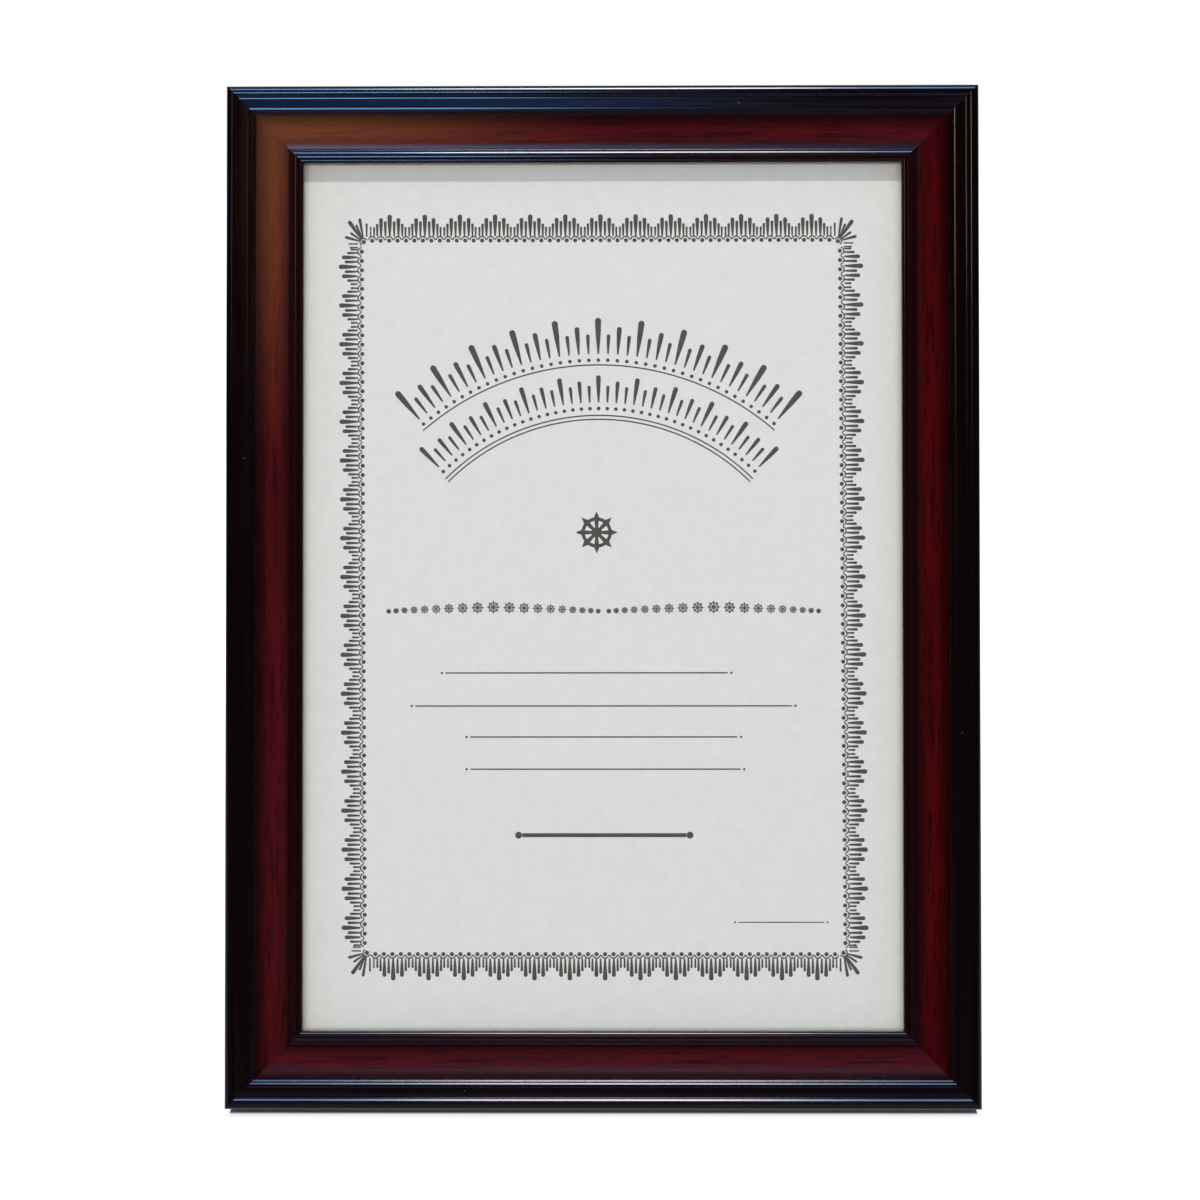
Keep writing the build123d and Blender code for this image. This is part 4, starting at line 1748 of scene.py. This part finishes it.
@dataclass
class Studio:
    """Floor, light and camera."""

    stand: Stand
    distance: float = 1.25
    lens: float = 114.26
    sensor: float = 36.0
    elevation: float = 10.375
    azimuth: float = 0.714
    roll: float = 0.181
    aim_shift: Point = (-0.00086, -0.00142)
    aim_height: float = 12.0
    rail_middles: ClassVar[dict[tuple[Side, ...], Point]] = {
        (Side.TOP,): (0.0, 160.0), (Side.BOTTOM,): (0.0, -160.0),
        (Side.LEFT,): (-115.0, 100.0), (Side.RIGHT,): (115.0, 120.0),
    }
    lamps: tuple[Lamp, ...] = (
        Lamp("key", 40.0, 0.0, 2.0, (0.60, 0.07), 14.6, (1.0, 0.86, 0.68), glossy=False),
        Lamp("fill_left", -8.0, -13.0, 2.0, (0.50, 0.50), 8.4, (1.0, 0.87, 0.71), glossy=False),
        Lamp("fill_right", -8.0, 14.0, 2.0, (0.50, 0.50), 6.6, (1.0, 0.87, 0.71), glossy=False),
        Lamp("back_fill", 150.0, 20.0, 1.5, (1.0, 0.8), 9.0, (0.96, 0.98, 1.0), glossy=False),
        Lamp("top_white", 67.0, -0.6, 1.3, (0.26, 0.44), 9.5, (1.0, 0.9, 0.74), only=(Side.TOP,)),
        Lamp("top_ends", 67.0, -0.6, 1.31, (0.8, 0.44), 10.5, (0.12, 0.44, 1.0), only=(Side.TOP,)),
        Lamp("top_blue", 12.5, -8.4, 1.4, (0.27, 0.26), 4.4, (0.17, 0.52, 1.0), only=(Side.TOP,)),
        Lamp("top_dim", 44.0, -7.0, 1.3, (0.30, 0.25), 0.26, (0.05, 0.3, 1.0), only=(Side.TOP,)),
        Lamp("bottom_white", 27.0, -0.6, 1.3, (0.24, 0.62), 9.6, (1.0, 0.9, 0.8), only=(Side.BOTTOM,)),
        Lamp("bottom_ends", 27.0, -0.6, 1.31, (0.8, 0.62), 12.5, (0.18, 0.45, 1.0), only=(Side.BOTTOM,)),
        Lamp("bottom_high", 63.0, -0.6, 1.3, (0.22, 0.20), 0.9, (0.9, 0.75, 1.0), only=(Side.BOTTOM,)),
        Lamp("left_warm", 10.0, -33.5, 1.4, (0.10, 0.20), 0.22, (1.0, 0.6, 0.42), only=(Side.LEFT,)),
        Lamp("right_gold", 9.5, 1.0, 1.4, (0.16, 0.16), 0.7, (1.0, 0.72, 0.55), only=(Side.RIGHT,)),
        Lamp("amber", -32.0, 40.0, 0.7, (0.1, 0.1), 380.0, (1.0, 0.4, 0.15), cone=10.8,
             aim=(-114.0, 158.0), only=(Side.TOP, Side.LEFT)),
    )
    ambient: Colour = (0.25, 0.385, 0.55)
    front_gloss: Colour = (0.012, 0.012, 0.016)
    overhead_gloss: Colour = (0.2, 0.18, 0.32)
    overhead_way: Triple = (0.0, 0.17, 0.985)
    overhead_span: Point = (0.80, 0.95)
    behind_span: Point = (0.6, 0.95)
    floor_size: float = 8.0
    floor_paint: Colour = (0.5, 0.5, 0.5)
    floor_roughness: float = 0.9
    glow_span: Point = (0.2, 0.7)
    glow_near: float = 0.8
    # Painted glow of the floor for glossy rays, by distance in front of the frame in metres: bands that the
    # lacquer shows as painted reflections.
    floor_painted_glow: tuple[Stop, ...] = (
        (0.0, (0.4, 0.4, 0.4)), (0.047, (0.4, 0.4, 0.4)), (0.05, (0.24, 0.23, 0.35)),
        (0.063, (0.24, 0.23, 0.35)), (0.067, (0.02, 0.02, 0.025)), (0.079, (0.02, 0.02, 0.025)),
        (0.0875, (0.48, 0.31, 0.58)), (0.13, (0.48, 0.31, 0.58)), (0.15, (0.02, 0.02, 0.025)),
        (0.25, (0.02, 0.02, 0.025)), (0.5, (0.22, 0.26, 0.45)),
    )
    # A painted contact shadow: a dark strip on the floor under the frame's foot, by half width and distance
    # in front, in metres.
    painted_shadow_half: float = 0.1225
    painted_shadow_rise: Point = (0.029, 0.0345)
    painted_shadow_fall: Point = (0.0425, 0.0455)

    def direction(self, up: float, right: float) -> Vector:
        """Gives a direction from the frame.

        Args:
            up, right: Degrees up and to the right of the frame's normal.

        Returns:
            The direction in the room.
        """
        rise, turn = radians(up), radians(right)
        own = Vector((sin(turn) * cos(rise), sin(rise), cos(turn) * cos(rise)))
        return self.stand.axes.to_3x3() @ own

    @staticmethod
    def hang(name: str, data: bpy.types.ID, spot: Vector, way: Vector, roll: float = 0.0) -> bpy.types.Object:
        """Puts a lamp or the camera in the room.

        Args:
            name: Its name.
            data: The lamp's or the camera's data.
            spot: Where it looks.
            way: Where it stands from there.
            roll: Its turn about its own axis, in degrees.

        Returns:
            The object.
        """
        item = bpy.data.objects.new(name, data)
        bpy.context.scene.collection.objects.link(item)
        facing = (-way).to_track_quat("-Z", "Y").to_matrix().to_4x4()
        item.matrix_world = Matrix.Translation(spot + way) @ facing @ Matrix.Rotation(radians(roll), 4, "Z")
        return item

    def camera(self) -> None:
        """Sets the camera where the photograph's stood."""
        data = bpy.data.cameras.new("camera")
        data.sensor_width = self.sensor
        data.lens = self.lens
        data.clip_start = 0.05
        rise, turn = radians(self.elevation), radians(self.azimuth)
        back = Vector((sin(turn) * cos(rise), -cos(turn) * cos(rise), sin(rise)))
        aim = self.stand.room(0, 0, self.aim_height) + Vector((self.aim_shift[0], 0, self.aim_shift[1]))
        bpy.context.scene.camera = self.hang("camera", data, aim, back * self.distance, -self.roll)

    def lights(self) -> None:
        """Hangs the lamps."""
        for lamp in self.lamps:
            data = bpy.data.lights.new(lamp.name, "SPOT" if lamp.cone else "AREA")
            if lamp.cone:
                data.spot_size = radians(lamp.cone)
                data.spot_blend = 1.0
                data.shadow_soft_size = lamp.size[0] / 2
            else:
                data.shape = "RECTANGLE"
                data.size, data.size_y = lamp.size
            data.energy = lamp.power
            data.color = lamp.colour
            across, up = lamp.aim or self.rail_middles.get(lamp.only, (0.0, 0.0))
            aim = self.stand.room(across, up, self.aim_height)
            light = self.hang(lamp.name, data, aim, self.direction(lamp.up, lamp.right) * lamp.distance)
            light.visible_camera = False
            light.visible_glossy = lamp.glossy
            light.visible_transmission = lamp.glossy
            light.visible_diffuse = not lamp.only
            if lamp.only:
                data.cycles.max_bounces = 0
                lit = bpy.data.collections.new(f"{lamp.name}_lights")
                for side in lamp.only:
                    lit.objects.link(bpy.data.objects[f"{side.label}_rail_moulding"])
                light.light_linking.receiver_collection = lit

    @staticmethod
    def shown(graph: Graph, path: Any) -> bpy.types.NodeSocket:
        """Says whether a ray comes straight from the camera, or through the glass."""
        return graph.math("MAXIMUM", path["Is Camera Ray"], path["Is Transmission Ray"])

    def sky(self) -> None:
        """Lights the room: white behind the frame, violet overhead and dark in front to a glossy surface."""
        world = bpy.data.worlds.new("room")
        bpy.context.scene.world = world
        world.use_nodes = True
        world.cycles.sampling_method = "NONE"
        graph = Graph(world.node_tree)
        path = graph.add("LightPath").outputs
        way = graph.add("TexCoord").outputs["Generated"]
        overhead = graph.vector("DOT_PRODUCT", way, self.overhead_way)["Value"]
        behind = graph.add("SeparateXYZ", {0: way}).outputs[1]
        seen = graph.mix(graph.span(overhead, *self.overhead_span), self.front_gloss, self.overhead_gloss)
        seen = graph.mix(graph.span(behind, *self.behind_span), seen, WHITE)
        plain = graph.mix(path["Is Glossy Ray"], self.ambient, seen)
        colour = graph.mix(self.shown(graph, path), plain, WHITE)
        graph.feed(graph.tree.nodes["Background"], {"Color": colour})

    def floor(self) -> None:
        """Lays a pale floor that the camera sees white, with the frame's shadow on it, a painted contact
        shadow in a strip under its foot, and bands of painted glow in front of it that only glossy rays see,
        as painted reflections in the lacquer.
        """
        Hand.clear()
        bpy.ops.mesh.primitive_plane_add(size=self.floor_size, location=(0, 0, 0))
        floor = bpy.context.object
        floor.name = "floor"
        material, graph, shader = new_material("floor_paint")
        graph.feed(shader, {
            "Base Color": self.floor_paint,
            "Roughness": self.floor_roughness,
            "Specular IOR Level": 0.0,
        })
        path = graph.add("LightPath").outputs
        spot = graph.add("TexCoord").outputs["Object"]
        across, depth, _ = graph.add("SeparateXYZ", {0: spot}).outputs
        ahead = graph.times(depth, -1.0)
        # Painted reflections: glossy rays see bands of painted glow on the floor in front of the frame
        # instead of the lit floor.
        painted_glow = graph.add("Emission", {"Color": graph.ramp(ahead, self.floor_painted_glow)})
        painted_glow_share = graph.times(path["Is Glossy Ray"], graph.math("GREATER_THAN", ahead, 0.0))
        plain = graph.add("MixShader", {0: painted_glow_share, 1: shader.outputs[0], 2: painted_glow.outputs[0]})
        # Painted contact shadow: the camera's white glow is taken away in a strip under the frame's foot.
        painted_contact_shadow = graph.math("LESS_THAN", graph.math("ABSOLUTE", across), self.painted_shadow_half)
        painted_contact_shadow = graph.times(painted_contact_shadow, graph.span(ahead, *self.painted_shadow_rise))
        painted_contact_shadow = graph.times(painted_contact_shadow, graph.span(ahead, *self.painted_shadow_fall, 1.0, 0.0))
        away = graph.vector("LENGTH", spot)["Value"]
        glow = graph.times(self.shown(graph, path), graph.span(away, *self.glow_span, self.glow_near, 1.0))
        glow = graph.times(glow, graph.math("SUBTRACT", 1.0, painted_contact_shadow))
        white = graph.add("Emission", {"Color": WHITE, "Strength": glow})
        graph.show(graph.add("AddShader", {0: plain.outputs[0], 1: white.outputs[0]}))
        floor.data.materials.append(material)

    def build(self) -> None:
        """Sets the whole studio."""
        bpy.context.scene.view_settings.view_transform = "Standard"
        self.camera()
        self.lights()
        self.sky()
        self.floor()
        LOG.info("studio: %d lamps", len(self.lamps))


def main() -> None:
    """Builds the frame piece by piece."""
    logging.basicConfig(level=logging.INFO, format="%(name)s: %(message)s")
    Hand.clear()
    stand = Stand.measured()
    LOG.info("leaning %.2f degrees, %.1f by %.1f mm", degrees(stand.lean), stand.width, stand.height)
    effects = Effects()
    Rails(stand, effects).build()
    repaint("glazing", GlassFinish().make(effects, "pane_glass"))
    Certificate(stand, effects).build()
    Backing(effects).build()
    Studio(stand).build()


if __name__ == "__main__":
    main()
